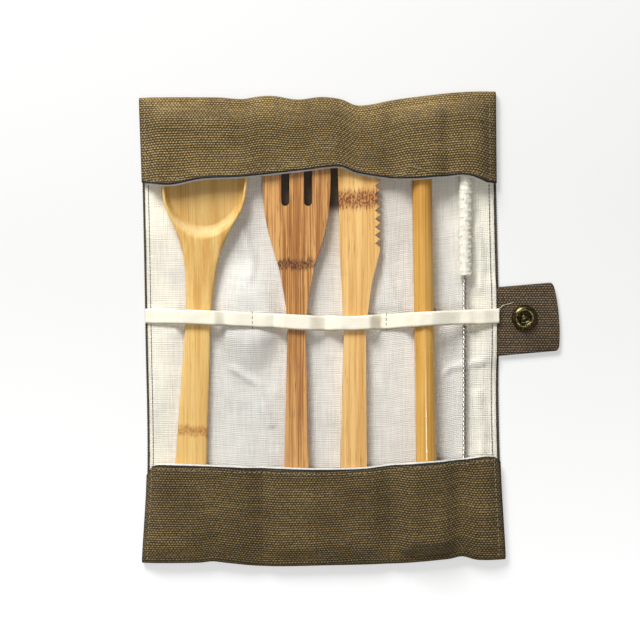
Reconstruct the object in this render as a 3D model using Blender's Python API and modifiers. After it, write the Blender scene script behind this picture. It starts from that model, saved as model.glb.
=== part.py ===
"""Bamboo cutlery pack: an unrolled canvas roll with a spoon, fork, knife, straw and straw brush.

Metres, +Z up. The roll lies open on its back, with its top end folded down as a flap and its bottom
end folded up as a pocket sewn into three compartments. The origin is on the surface that it lies on,
under the middle of the roll, with +X towards the closing tab and +Y towards the flap.
"""
import math

import bmesh
import bpy
from mathutils import Vector

# Cloth, and the gap between pieces that touch
CANVAS_THICKNESS = 0.0008
LINING_THICKNESS = 0.0005
TAPE_THICKNESS = 0.0006
GAP = 0.0003

# Roll, laid open
ROLL_WIDTH = 0.1684
ROLL_LENGTH = 0.2226
FLAP_DEPTH = 0.0375
POCKET_DEPTH = 0.0475
FLAP_FOLD_HEIGHT = 0.0064
POCKET_FOLD_HEIGHT = 0.0058
FLAP_GAPE = 0.0072
POCKET_GAPE = 0.0078
LINING_INSET = 0.0011
LINING_SHOWS = 0.0006

# Where each seam and piece lies across the roll, as a share of half its width
SEAM_LEFT_ACROSS = -0.335
SEAM_RIGHT_ACROSS = 0.382
SPOON_ACROSS = -0.6983
FORK_ACROSS = -0.138
KNIFE_ACROSS = 0.190
STRAW_ACROSS = 0.583
BRUSH_ACROSS = 0.8135
STUD_ACROSS = -0.410

# How far the cloth takes to rise from a seam, a fold or beside what it covers
SIDE_RISE = 0.0082
SEAM_RISE = 0.0092
FLAP_RISE = 0.0098
POCKET_RISE = 0.0075
SAG_REACH = 0.0170
CLOTH_BLEND = 6

# Soft waves of the cloth's edges, as (place, departure from the straight edge)
LEFT_DRIFT = ((-0.111, -0.0012), (-0.066, 0.0012), (0.000, 0.0002), (0.040, -0.0005), (0.070, -0.0012),
              (0.111, -0.0026))
RIGHT_DRIFT = ((-0.108, 0.0038), (-0.066, 0.0014), (-0.030, 0.0006), (0.000, 0.0009), (0.060, -0.0004),
               (0.111, -0.0009))
FLAP_FOLD_DRIFT = ((-0.086, -0.0003), (-0.049, -0.0003), (-0.0375, -0.0011), (-0.030, 0.0001),
                   (-0.023, 0.0004), (-0.011, -0.0013), (0.000, -0.0001), (0.0095, -0.0012),
                   (0.0165, -0.0040), (0.023, -0.0038), (0.035, -0.0015), (0.057, 0.0013),
                   (0.069, 0.0023), (0.084, 0.0027))
FLAP_EDGE_DRIFT = ((-0.086, -0.0032), (-0.072, -0.0050), (-0.0565, -0.0022), (-0.0375, -0.0012),
                   (-0.0076, 0.0021), (0.0038, 0.0035), (0.0105, 0.0035), (0.0162, 0.0011),
                   (0.0295, -0.0012), (0.043, -0.0022), (0.057, -0.0012), (0.069, -0.0003),
                   (0.080, -0.0036))
POCKET_EDGE_DRIFT = ((-0.084, -0.0055), (-0.081, -0.0010), (-0.073, -0.0003), (-0.028, -0.0018),
                     (0.014, -0.0023), (0.045, 0.0008), (0.068, 0.0025), (0.081, 0.0035),
                     (0.086, -0.0010))
POCKET_FOLD_DRIFT = ((-0.085, 0.0000), (-0.058, 0.0002), (-0.0515, 0.0009), (-0.0455, 0.0002),
                     (-0.027, -0.0014), (0.004, -0.0010), (0.038, 0.0000), (0.060, 0.0020),
                     (0.066, 0.0033), (0.0725, 0.0016), (0.085, 0.0017))

# Cutlery: each piece lies along Y
CUTLERY_TOP = 0.0965
CUTLERY_END = -0.1015
HANDLE_CORNER = 0.0030
BLANK_DEPTH = 0.0300
TRIM_WIDTH = 0.0600
TRIM_MARGIN = 0.0035
SPOON_LEAN = math.radians(2.8)
SPOON_HALF_WIDTH = 0.0203
SPOON_BOWL_CENTRE = 0.0700
SPOON_SCOOP_START = 0.0500
SPOON_SCOOP_RISE = 0.0022
SPOON_RIM_DROP = 0.0010
SPOON_END_RADIUS = 0.0022
SPOON_RIM_HEIGHT = 0.0074
SPOON_FLOOR_THICKNESS = 0.0022
SPOON_RIM_WIDTH = 0.0021
SPOON_HANDLE_THICKNESS = 0.0043
FORK_HALF_WIDTH = 0.0162
FORK_HANDLE_THICKNESS = 0.0048
FORK_TIP_LIFT = 0.0030
FORK_TINE_THICKNESS = 0.0038
FORK_SLOT_WIDTH = 0.0038
FORK_SLOT_SPACING = 0.0108
FORK_SLOT_END = 0.0590
FORK_TIP_DEPTH = 0.0060
KNIFE_THICKNESS = 0.0045
KNIFE_TIP_THICKNESS = 0.0028
KNIFE_EDGE_X = 0.0122
KNIFE_TOOTH_PITCH = 0.0039
KNIFE_TOOTH_COUNT = 12
KNIFE_NOTCH_RADIUS = 0.00165
KNIFE_FIRST_NOTCH = 0.0413
KNIFE_HEEL = 0.0028
KNIFE_TIP_RADIUS = 0.0100
KNIFE_BACK_RADIUS = 0.0060
EDGE_ROUNDING = 0.0005
STRAW_LEAN = math.radians(-0.9)
STRAW_TOP = 0.0965
STRAW_END = -0.1000
STRAW_TOP_DIAMETER = 0.0093
STRAW_END_DIAMETER = 0.0100
STRAW_BORE = 0.0070
STRAW_RIM = 0.0004
WIRE_DIAMETER = 0.0021
WIRE_TOP = 0.0935
WIRE_END = -0.1000
BRISTLE_DIAMETER = 0.0065
BRISTLE_TOP = 0.0950
BRISTLE_END = 0.0262
BRISTLE_RIB_PITCH = 0.0043
BRISTLE_RIB_DEPTH = 0.0003

# Shapes along the cutlery, place as a share of its length from the lower end.
# Half widths are shares of the widest half, heights are shares of the rim's height.
SPOON_SHAPE = ((0.008, 0.394), (0.189, 0.365), (0.528, 0.300), (0.563, 0.296), (0.639, 0.345),
               (0.694, 0.433), (0.730, 0.542), (0.765, 0.700), (0.811, 0.921), (0.866, 1.0))
SPOON_TOP = ((0.008, 0.581), (0.563, 0.581), (0.694, 0.811), (0.775, 1.0), (1.0, 1.0))
SPOON_BOTTOM = ((0.008, 0.0), (0.412, 0.0), (0.624, 0.122), (0.755, 0.027), (0.836, 0.0),
                (0.907, 0.041), (0.967, 0.216), (1.0, 0.568))
SPOON_STATIONS = (0.109, 0.260, 0.412, 0.528, 0.573, 0.614, 0.654, 0.689, 0.720, 0.745, 0.770,
                  0.795, 0.831)
SPOON_BOWL_ANGLES = (0, 14, 27, 39, 50, 60, 69, 77, 83)
SPOON_BOWL_BLEND = (0.654, 0.785)
FORK_SHAPE = ((0.008, 0.383), (0.179, 0.364), (0.513, 0.265), (0.563, 0.309), (0.662, 0.519),
              (0.727, 0.765), (0.795, 0.944), (0.886, 1.0), (0.967, 0.926))
FORK_STATIONS = (0.038, 0.179, 0.311, 0.422, 0.513, 0.563, 0.614, 0.662, 0.694, 0.727, 0.760,
                 0.795, 0.841, 0.886, 0.927)
FORK_LIFT = ((0.0, 0.0), (0.614, 0.0), (0.765, 0.20), (0.891, 0.57), (1.018, 1.0))
FORK_THINNING = ((0.0, 0.0), (0.690, 0.0), (1.018, 1.0))
KNIFE_BACK = ((0.033, -0.566), (0.179, -0.557), (0.361, -0.475), (0.510, -0.418), (0.563, -0.459),
              (0.689, -0.557), (0.785, -0.607), (0.896, -0.656), (0.947, -0.648))
KNIFE_BELLY = ((0.033, 0.492), (0.179, 0.484), (0.361, 0.451), (0.510, 0.434), (0.563, 0.533),
               (0.624, 0.664))
KNIFE_THINNING = ((0.0, 0.0), (0.715, 0.0), (1.043, 1.0))

# Tape across the middle, sewn down at the seams' lines
TAPE_WIDTH = 0.0070
TAPE_SLACK = 0.0010
TAPE_DOME_MARGIN = 0.0008
TAPE_OVERHANG = 0.0015
TAPE_STRAW_SHARE = 0.32
TAPE_STEPS = 54
TACK_LENGTH = 0.0030
TACK_LEFT_INSET = 0.0020
TACK_RIGHT_INSET = 0.0004
TAPE_SAG = ((-0.084, 0.0067), (-0.055, 0.0060), (-0.029, 0.0047), (0.004, 0.0033), (0.031, 0.0040),
            (0.052, 0.0054), (0.085, 0.0067))

# Closing tab, sewn in between canvas and lining at the right edge
TAB_THICKNESS = 0.0014
TAB_REACH = 0.0288
TAB_WIDTH = 0.0328
TAB_TURN = math.radians(5.0)
TAB_Y = 0.0041
TAB_INSERT = 0.0060
TAB_BULGE = 0.0014
TAB_CORNER = 0.0016
TAB_LIFT_REACH = 0.0070
TAB_MARGIN = 0.0010
TAB_ROUNDING = 0.0003

# Snap: cap and post under the tab, socket on top of it, stud on the back of the roll
SNAP_FROM_EDGE = 0.0122
SNAP_OFF_CENTRE = 0.0006
SNAP_DIAMETER = 0.0122
SNAP_HOLE = 0.0057
SOCKET_HEIGHT = 0.0021
SOCKET_FLOOR = 0.0004
SOCKET_LIP = 0.0007
SOCKET_RECESS = 0.0080
SPRING_WIRE = 0.0004
SPRING_HALF_LENGTH = 0.0026
SPRING_HALF_WIDTH = 0.0022
SPRING_CORNER = 0.0009
SNAP_CROWN = 0.0012
SNAP_BEAD = 0.0006
METAL_CHAMFER = 0.0002
CAP_THICKNESS = 0.0008
POST_DIAMETER = 0.0030
STUD_Y = 0.0057
STUD_DIAMETER = 0.0100
STUD_HEAD_DIAMETER = 0.0054
STUD_HEIGHT = 0.0032
STUD_PLATE = 0.0006
STUD_FLANGE_DIAMETER = 0.0090
STUD_FLANGE = 0.0005
STUD_DOME_FLAT = 0.0086
STUD_DOME_REACH = 0.0080

# Derived places and levels
SEAM_LEFT_X = SEAM_LEFT_ACROSS * ROLL_WIDTH / 2
SEAM_RIGHT_X = SEAM_RIGHT_ACROSS * ROLL_WIDTH / 2
SPOON_X = SPOON_ACROSS * ROLL_WIDTH / 2
FORK_X = FORK_ACROSS * ROLL_WIDTH / 2
KNIFE_X = KNIFE_ACROSS * ROLL_WIDTH / 2
STRAW_X = STRAW_ACROSS * ROLL_WIDTH / 2
BRUSH_X = BRUSH_ACROSS * ROLL_WIDTH / 2
STUD_X = STUD_ACROSS * ROLL_WIDTH / 2
CUTLERY_LENGTH = CUTLERY_TOP - CUTLERY_END
HALF_CANVAS = CANVAS_THICKNESS / 2
LINING_OFFSET = HALF_CANVAS + GAP + LINING_THICKNESS / 2
FLOOR = CANVAS_THICKNESS + GAP + LINING_THICKNESS + GAP
PINCHED = CANVAS_THICKNESS + 2 * LINING_THICKNESS + 3 * GAP
CLOTH_OVER = FLOOR + GAP + LINING_THICKNESS + GAP
FLAP_FOLD_Y = ROLL_LENGTH / 2
POCKET_FOLD_Y = -ROLL_LENGTH / 2
DOME_HEIGHT = STUD_HEIGHT + GAP
TAB_BOTTOM = CANVAS_THICKNESS + GAP
TAB_LIFT = TAB_THICKNESS + GAP
FLANGE_LIFT = STUD_FLANGE + GAP
ROUND_STEPS = 32


def along(points, place):
    """Height at a place of the smooth curve through (place, value) points, level past its ends."""
    if place <= points[0][0]:
        return points[0][1]
    if place >= points[-1][0]:
        return points[-1][1]
    i = max(k for k in range(len(points) - 1) if points[k][0] <= place)
    (p0, v0), (p1, v1) = points[i], points[i + 1]

    def slope(k):
        before, after = points[max(k - 1, 0)], points[min(k + 1, len(points) - 1)]
        return (after[1] - before[1]) / (after[0] - before[0])

    span = p1 - p0
    t = (place - p0) / span
    start = (1 + 2 * t) * (1 - t) ** 2 * v0 + t * (1 - t) ** 2 * span * slope(i)
    return start + t * t * (3 - 2 * t) * v1 + t * t * (t - 1) * span * slope(i + 1)


def swell(t):
    """Rise of cloth from 0 to 1: it leaves a seam at a slope and flattens out gently."""
    t = min(max(t, 0.0), 1.0)
    return 0.4 * t * t * (3 - 2 * t) + 0.6 * t * (2 - t)


def fade(t):
    """Fall from 1 to 0, level at both ends."""
    t = min(max(t, 0.0), 1.0)
    return 0.5 + 0.5 * math.cos(math.pi * t)


def left_edge(y):
    return -ROLL_WIDTH / 2 + along(LEFT_DRIFT, y)


def right_edge(y):
    return ROLL_WIDTH / 2 + along(RIGHT_DRIFT, y)


def spoon_x(y):
    return SPOON_X + y * math.tan(SPOON_LEAN)


def straw_x(y):
    return STRAW_X + y * math.tan(STRAW_LEAN)


def share_at(y):
    """Share of the cutlery's length that lies below y."""
    return (y - CUTLERY_END) / CUTLERY_LENGTH


def place_at(share):
    """The y of a share of the cutlery's length."""
    return CUTLERY_END + share * CUTLERY_LENGTH


def spoon_half_width(y):
    return SPOON_HALF_WIDTH * along(SPOON_SHAPE, share_at(y))


def fork_half_width(y):
    """Half of the fork's width: a broad head, a narrow neck and a handle that widens again."""
    return FORK_HALF_WIDTH * along(FORK_SHAPE, share_at(y))


def knife_back(y):
    """How far the knife's straight back lies from its centre line, on the -X side."""
    return KNIFE_EDGE_X * along(KNIFE_BACK, share_at(y))


def knife_belly(y):
    """How far the knife's other side lies from its centre line, below the first tooth."""
    return KNIFE_EDGE_X * along(KNIFE_BELLY, share_at(y))


def brush_lean():
    """The brush lies on its bristles and on the far end of its wire."""
    rise = (BRISTLE_DIAMETER - WIRE_DIAMETER) / 2
    return math.atan2(rise, BRISTLE_END - WIRE_END)


def brush_height(y):
    """Height of the wire's middle at y."""
    return FLOOR + WIRE_DIAMETER / 2 + (y - WIRE_END) * math.tan(brush_lean())


def under_flap(y):
    """What lies under the flap: (middle, half width, height) of each piece, and the cloth's own gape."""
    return ((spoon_x(y), SPOON_HALF_WIDTH, SPOON_RIM_HEIGHT + CLOTH_OVER),
            (FORK_X, FORK_HALF_WIDTH, FORK_TIP_LIFT + FORK_TINE_THICKNESS + CLOTH_OVER),
            (KNIFE_X, KNIFE_EDGE_X, KNIFE_THICKNESS + CLOTH_OVER),
            (straw_x(y), STRAW_TOP_DIAMETER / 2, STRAW_END_DIAMETER + CLOTH_OVER),
            (BRUSH_X, BRISTLE_DIAMETER / 2,
             brush_height(BRISTLE_TOP) + BRISTLE_DIAMETER / 2 - FLOOR + CLOTH_OVER),
            (0.0, ROLL_WIDTH / 2, FLAP_GAPE))


def in_pocket(y):
    """What stands in the pocket, in the same form."""
    return ((spoon_x(y), spoon_half_width(y), SPOON_HANDLE_THICKNESS + CLOTH_OVER),
            (FORK_X, fork_half_width(y), FORK_HANDLE_THICKNESS + CLOTH_OVER),
            (KNIFE_X, -knife_back(y), KNIFE_THICKNESS + CLOTH_OVER),
            (straw_x(y), STRAW_END_DIAMETER / 2, STRAW_END_DIAMETER + CLOTH_OVER),
            (0.0, ROLL_WIDTH / 2, POCKET_GAPE))


def side_share(x, y):
    """0 at the sewn sides of the roll, 1 clear of them."""
    return swell((x - left_edge(y)) / SIDE_RISE) * swell((right_edge(y) - x) / SIDE_RISE)


def seam_share(x, y):
    """0 at the sides and at the two seams of the pocket, 1 in the middle of a compartment."""
    to_seam = min(abs(x - SEAM_LEFT_X), abs(x - SEAM_RIGHT_X))
    return side_share(x, y) * swell(to_seam / SEAM_RISE)


def covered_height(x, contents):
    """Height to which the pieces under the cloth hold it at x, as a smooth maximum."""
    total = 0.0
    for middle, half, height in contents:
        reach = (abs(x - middle) - half) / SAG_REACH
        total += ((height - PINCHED) * fade(reach)) ** CLOTH_BLEND
    return total ** (1 / CLOTH_BLEND)


def upper_height(x, y, from_fold, flap):
    """Height of the upper layer's middle over the lower layer's, at a distance from the fold."""
    share = side_share(x, y) if flap else seam_share(x, y)
    fold = (FLAP_FOLD_HEIGHT if flap else POCKET_FOLD_HEIGHT) - PINCHED
    held = covered_height(x, under_flap(y) if flap else in_pocket(y))
    rise = swell(from_fold / (FLAP_RISE if flap else POCKET_RISE))
    return PINCHED + share * (fold + (held - fold) * rise)


def dome(x, y, margin=0.0):
    """1 over the stud on the back of the roll, 0 clear of it."""
    return fade((math.hypot(x - STUD_X, y - STUD_Y) - STUD_DOME_FLAT - margin) / STUD_DOME_REACH)


def tab_share(x, y):
    """1 over the end of the tab that is sewn in at the right edge, 0 clear of it."""
    inward = (right_edge(y) - TAB_INSERT - x) / TAB_LIFT_REACH
    beyond = (abs(y - TAB_Y) - TAB_WIDTH / 2 - TAB_MARGIN) / TAB_LIFT_REACH
    return fade(inward) * fade(beyond)


# Stations of the cloth's grid: across the roll, and along it from the pocket's edge to the flap's
SIDE_STEPS = (0.0, LINING_INSET, 0.0024, 0.0040, 0.0060, SIDE_RISE)
SEAM_STEPS = (-0.0028, 0.0, 0.0028)
LAYER_ROWS = 6
FOLD_ROWS = 4
BASE_MARGIN = 0.0360
CLOSEST_STATIONS = 0.0022
WIDEST_COLUMN = 0.0085
WIDEST_ROW = 0.0300


def added(stations, extra):
    """The stations with those extra ones that aren't too close to them."""
    result = list(stations)
    for place in extra:
        if min(abs(place - other) for other in result) > CLOSEST_STATIONS:
            result.append(place)
    return sorted(result)


def filled(stations, widest):
    """Adds even stations wherever two lie further apart than the widest spacing."""
    result = [stations[0]]
    for before, after in zip(stations, stations[1:]):
        count = math.ceil((after - before) / widest)
        result += [before + (after - before) * i / count for i in range(1, count + 1)]
    return result


def stud_stations(middle):
    """Places round the stud at which the dome needs a line of the grid."""
    inner = STUD_DOME_FLAT / math.sqrt(2)
    outer = STUD_DOME_FLAT + STUD_DOME_REACH
    between = (inner + outer) / 2
    return [middle + step for step in (0.0, -inner, inner, -between, between, -outer, outer)]


def cloth_columns():
    """Places across the roll: close together at the sides and the seams."""
    half = ROLL_WIDTH / 2
    sides = [-half + step for step in SIDE_STEPS] + [half - step for step in SIDE_STEPS]
    seams = [seam + step for seam in (SEAM_LEFT_X, SEAM_RIGHT_X) for step in SEAM_STEPS]
    extra = stud_stations(STUD_X) + [half - TAB_INSERT - TAB_LIFT_REACH]
    return filled(added(sides + seams, extra), WIDEST_COLUMN)


def base_stations():
    """Places along the lower layer: close together at the stud and at the tab's edges."""
    ends = [POCKET_FOLD_Y + BASE_MARGIN, FLAP_FOLD_Y - BASE_MARGIN]
    flat = TAB_WIDTH / 2 + TAB_MARGIN
    tab = [TAB_Y + sign * reach for sign in (-1, 1) for reach in (flat, flat + TAB_LIFT_REACH)]
    return filled(added(ends, stud_stations(STUD_Y) + tab), WIDEST_ROW)


def drifted(x, y):
    """Moves a column sideways near the edges, so that the sides of the roll drift as cloth does."""
    share = abs(2 * x / ROLL_WIDTH) ** 4
    return x + share * (along(LEFT_DRIFT, y) if x < 0 else along(RIGHT_DRIFT, y))


def fold_point(x, t, flap):
    """Point of the canvas's middle surface on a fold, t from 0 at the base to 1 at the upper layer."""
    sign = 1 if flap else -1
    fold_y = FLAP_FOLD_Y + along(FLAP_FOLD_DRIFT, x) if flap else POCKET_FOLD_Y + along(POCKET_FOLD_DRIFT, x)
    radius = upper_height(drifted(x, fold_y), fold_y, 0.0, flap) / 2
    angle = math.pi * (t - 0.5)
    y = fold_y - sign * (HALF_CANVAS + radius - radius * math.cos(angle))
    return Vector((drifted(x, fold_y), y, HALF_CANVAS + radius + radius * math.sin(angle)))


def layer_point(x, t, flap):
    """Point of an upper layer, t from 0 at its fold to 1 at its free edge."""
    start = fold_point(x, 1.0, flap)
    if flap:
        edge = FLAP_FOLD_Y - FLAP_DEPTH + along(FLAP_EDGE_DRIFT, x)
    else:
        edge = POCKET_FOLD_Y + POCKET_DEPTH + along(POCKET_EDGE_DRIFT, x)
    y = start.y + (edge - start.y) * t
    side = drifted(x, y)
    return Vector((side, y, HALF_CANVAS + upper_height(side, y, abs(y - start.y), flap)))


def base_point(x, y):
    """Point of the lower layer, which is flat but for the dome over the stud."""
    side = drifted(x, y)
    return Vector((side, y, HALF_CANVAS + DOME_HEIGHT * dome(side, y)))


def cloth_rows():
    """One function of x for each row of the cloth, from the pocket's free edge to the flap's."""
    rows = [lambda x, t=i / LAYER_ROWS: layer_point(x, 1 - t, False) for i in range(LAYER_ROWS)]
    rows += [lambda x, t=i / FOLD_ROWS: fold_point(x, 1 - t, False) for i in range(FOLD_ROWS + 1)]
    rows += [lambda x, y=y: base_point(x, y) for y in base_stations()]
    rows += [lambda x, t=i / FOLD_ROWS: fold_point(x, t, True) for i in range(FOLD_ROWS + 1)]
    rows += [lambda x, t=(i + 1) / LAYER_ROWS: layer_point(x, t, True) for i in range(LAYER_ROWS)]
    return rows


def material(name, colour, roughness, metallic=0.0):
    """A Principled material of one colour."""
    made = bpy.data.materials.new(name)
    made.use_nodes = True
    shader = made.node_tree.nodes["Principled BSDF"]
    shader.inputs["Base Color"].default_value = (*colour, 1.0)
    shader.inputs["Roughness"].default_value = roughness
    shader.inputs["Metallic"].default_value = metallic
    return made


def place(obj, collection, finish=None):
    """Puts an object in one collection only, with its material."""
    for old in list(obj.users_collection):
        old.objects.unlink(obj)
    collection.objects.link(obj)
    if finish:
        obj.data.materials.clear()
        obj.data.materials.append(finish)
    return obj


def smooth(obj, angle=math.radians(40)):
    obj.data.shade_smooth()
    obj.data.set_sharp_from_angle(angle=angle)


def apply_modifiers(obj):
    """Replaces an object's mesh by its evaluated one."""
    graph = bpy.context.evaluated_depsgraph_get()
    mesh = bpy.data.meshes.new_from_object(obj.evaluated_get(graph))
    obj.modifiers.clear()
    obj.data = mesh


def grid_object(name, columns, rows):
    """A grid whose vertices are placed by their column and row."""
    bpy.ops.mesh.primitive_grid_add(x_subdivisions=columns - 1, y_subdivisions=rows - 1, size=2)
    obj = bpy.context.object
    obj.name = obj.data.name = name
    return obj


def cloth_surface(name, columns, rows):
    """The canvas's middle surface, triangulated one way so that nested layers stay parallel."""
    obj = grid_object(name, len(columns), len(rows))
    mesh = bmesh.new()
    mesh.from_mesh(obj.data)
    column_key = mesh.verts.layers.int.new("column")
    row_key = mesh.verts.layers.int.new("row")
    for vert in mesh.verts:
        column = round((vert.co.x + 1) / 2 * (len(columns) - 1))
        row = round((vert.co.y + 1) / 2 * (len(rows) - 1))
        vert[column_key], vert[row_key] = column, row
        vert.co = rows[row](columns[column])
    bmesh.ops.triangulate(mesh, faces=mesh.faces[:], quad_method="FIXED")
    mesh.normal_update()
    return obj, mesh, column_key, row_key


def thicken(obj, thickness):
    """Gives an open surface its thickness, half on each side."""
    solid = obj.modifiers.new("thickness", "SOLIDIFY")
    solid.thickness = thickness
    solid.offset = 0
    solid.use_rim = True
    return solid


def make_canvas(collection, cutters, finish):
    """The outer cloth: one strip folded over at both ends, with a hole for the stud's post."""
    columns, rows = cloth_columns(), cloth_rows()
    obj, mesh, _, _ = cloth_surface("canvas_cover", columns, rows)
    mesh.to_mesh(obj.data)
    mesh.free()
    thicken(obj, CANVAS_THICKNESS)
    hole = cylinder("stud_hole", POST_DIAMETER / 2 + GAP, 4 * DOME_HEIGHT, 12)
    hole.location = (STUD_X, STUD_Y, DOME_HEIGHT)
    cut(obj, hole, "DIFFERENCE", cutters)
    place(obj, collection, finish)
    smooth(obj)


def make_lining(collection, finish):
    """The inner cloth, nested in the canvas, just short of its sides and just past its free edges."""
    columns, rows = cloth_columns(), cloth_rows()
    obj, mesh, column_key, row_key = cloth_surface("lining", columns, rows)
    last = len(rows) - 1
    shown = {0: 1, last: -1}
    base = range(LAYER_ROWS + FOLD_ROWS + 1, LAYER_ROWS + FOLD_ROWS + 1 + len(base_stations()))
    targets = []
    for vert in mesh.verts:
        x, y = vert.co.x, vert.co.y
        lift = 0.0
        if vert[row_key] in base:
            lift = TAB_LIFT * tab_share(x, y) + FLANGE_LIFT * dome(x, y)
        target = vert.co + vert.normal * (LINING_OFFSET + lift)
        target.y += shown.get(vert[row_key], 0) * LINING_SHOWS
        targets.append((vert, target))
    for vert, target in targets:
        vert.co = target
    outer = [vert for vert in mesh.verts if vert[column_key] in (0, len(columns) - 1)]
    bmesh.ops.delete(mesh, geom=outer, context="VERTS")
    mesh.to_mesh(obj.data)
    mesh.free()
    thicken(obj, LINING_THICKNESS)
    place(obj, collection, finish)
    smooth(obj)


def tape_knots():
    """(x, height of the tape's middle) where it is sewn down and where it passes over a piece."""
    low = FLOOR + TAPE_THICKNESS / 2
    over = low + TAPE_SLACK
    spoon, straw = spoon_x(TAPE_SAG[0][1]), straw_x(TAPE_SAG[-1][1])
    over_wire = brush_height(TAPE_SAG[-1][1]) + WIRE_DIAMETER / 2 + GAP + TAPE_THICKNESS / 2
    spoon_half = spoon_half_width(TAPE_SAG[1][1]) + TAPE_OVERHANG
    fork_half = fork_half_width(TAPE_SAG[3][1]) + TAPE_OVERHANG
    knife_half = knife_belly(TAPE_SAG[3][1]) + TAPE_OVERHANG
    straw_half = STRAW_END_DIAMETER * TAPE_STRAW_SHARE
    return ((left_edge(0) + TACK_LENGTH, low),
            (spoon - spoon_half, over + SPOON_HANDLE_THICKNESS + GAP),
            (spoon + spoon_half, over + SPOON_HANDLE_THICKNESS + GAP),
            (SEAM_LEFT_X - TACK_LEFT_INSET - TACK_LENGTH, low),
            (SEAM_LEFT_X - TACK_LEFT_INSET, low),
            (FORK_X - fork_half, over + FORK_HANDLE_THICKNESS + GAP),
            (FORK_X + fork_half, over + FORK_HANDLE_THICKNESS + GAP),
            (KNIFE_X - knife_half, over + KNIFE_THICKNESS + GAP),
            (KNIFE_X + knife_half, over + KNIFE_THICKNESS + GAP),
            (SEAM_RIGHT_X - TACK_RIGHT_INSET - TACK_LENGTH, low),
            (SEAM_RIGHT_X - TACK_RIGHT_INSET, low),
            (straw - straw_half, low + STRAW_END_DIAMETER + GAP),
            (straw + straw_half, low + STRAW_END_DIAMETER + GAP),
            (BRUSH_X - WIRE_DIAMETER, over_wire),
            (BRUSH_X + WIRE_DIAMETER, over_wire),
            (right_edge(TAB_Y) - TACK_LENGTH / 2, low))


def tape_height(x, y):
    """Height of the tape's middle, over the dome of the stud and the sewn end of the tab too."""
    knots = tape_knots()
    under = TAB_LIFT * tab_share(x, y) + (DOME_HEIGHT + FLANGE_LIFT) * dome(x, y, TAPE_DOME_MARGIN)
    if x <= knots[0][0]:
        return knots[0][1] + under
    for (x0, z0), (x1, z1) in zip(knots, knots[1:]):
        if x <= x1:
            t = (x - x0) / (x1 - x0)
            t = 0.5 * t + 0.5 * t * t * (3 - 2 * t)
            return z0 + (z1 - z0) * t + under
    return knots[-1][1] + under


def make_tape(collection, finish):
    """A narrow tape across the cutlery, sewn down at the sides and at two tacks."""
    obj = grid_object("holding_tape", TAPE_STEPS, 3)
    for vert in obj.data.vertices:
        t = (vert.co.x + 1) / 2
        x = left_edge(0) + (right_edge(TAB_Y) - left_edge(0)) * t
        y = along(TAPE_SAG, x) + vert.co.y * TAPE_WIDTH / 2
        vert.co = (x, y, tape_height(x, y))
    thicken(obj, TAPE_THICKNESS)
    place(obj, collection, finish)
    smooth(obj)


def flat_curve(name, points, thickness):
    """A closed outline in the XY plane, filled and extruded to a thickness about z = 0."""
    data = bpy.data.curves.new(name, "CURVE")
    data.dimensions = "2D"
    data.fill_mode = "BOTH"
    data.extrude = thickness / 2
    spline = data.splines.new("POLY")
    spline.points.add(len(points) - 1)
    for point, (x, y) in zip(spline.points, points):
        point.co = (x, y, 0.0, 1.0)
    spline.use_cyclic_u = True
    return data


def outline_solid(name, points, thickness):
    """A mesh object with the outline of the points, closed and welded."""
    curve = bpy.data.objects.new(name + "_outline", flat_curve(name + "_outline", points, thickness))
    bpy.context.scene.collection.objects.link(curve)
    graph = bpy.context.evaluated_depsgraph_get()
    mesh = bpy.data.meshes.new_from_object(curve.evaluated_get(graph))
    bpy.data.objects.remove(curve)
    shell = bmesh.new()
    shell.from_mesh(mesh)
    bmesh.ops.remove_doubles(shell, verts=shell.verts[:], dist=0.000001)
    bmesh.ops.dissolve_limit(shell, angle_limit=math.radians(0.5), verts=shell.verts[:], edges=shell.edges[:])
    bmesh.ops.recalc_face_normals(shell, faces=shell.faces[:])
    shell.to_mesh(mesh)
    shell.free()
    obj = bpy.data.objects.new(name, mesh)
    bpy.context.scene.collection.objects.link(obj)
    return obj


def cylinder(name, radius, depth, sides):
    bpy.ops.mesh.primitive_cylinder_add(vertices=sides, radius=radius, depth=depth)
    obj = bpy.context.object
    obj.name = obj.data.name = name
    return obj


def cut(obj, cutter, operation, cutters):
    """Adds an exact boolean with a hidden cutter."""
    place(cutter, cutters)
    cutter.hide_render = True
    cutter.display_type = "WIRE"
    boolean = obj.modifiers.new(cutter.name, "BOOLEAN")
    boolean.operation = operation
    boolean.solver = "EXACT"
    boolean.object = cutter


def round_edges(obj, width, segments=2, angle=math.radians(35)):
    bevel = obj.modifiers.new("rounding", "BEVEL")
    bevel.width = width
    bevel.segments = segments
    bevel.limit_method = "ANGLE"
    bevel.angle_limit = angle


def arc(centre_x, centre_y, radius, start, end, steps):
    """Points of an arc, angles in degrees."""
    angles = [math.radians(start + (end - start) * i / steps) for i in range(steps + 1)]
    return [(centre_x + radius * math.cos(a), centre_y + radius * math.sin(a)) for a in angles]


def side_profile(name, top, bottom, width):
    """A solid that is as thick as a piece at each place along Y, to trim the piece's outline with."""
    obj = outline_solid(name, top + list(reversed(bottom)), width)
    for vert in obj.data.vertices:
        y, z, x = vert.co
        vert.co = (x, y, z)
    return obj


def sampled(start, end, steps):
    """Even places from start to end."""
    return [start + (end - start) * i / steps for i in range(steps + 1)]


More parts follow.
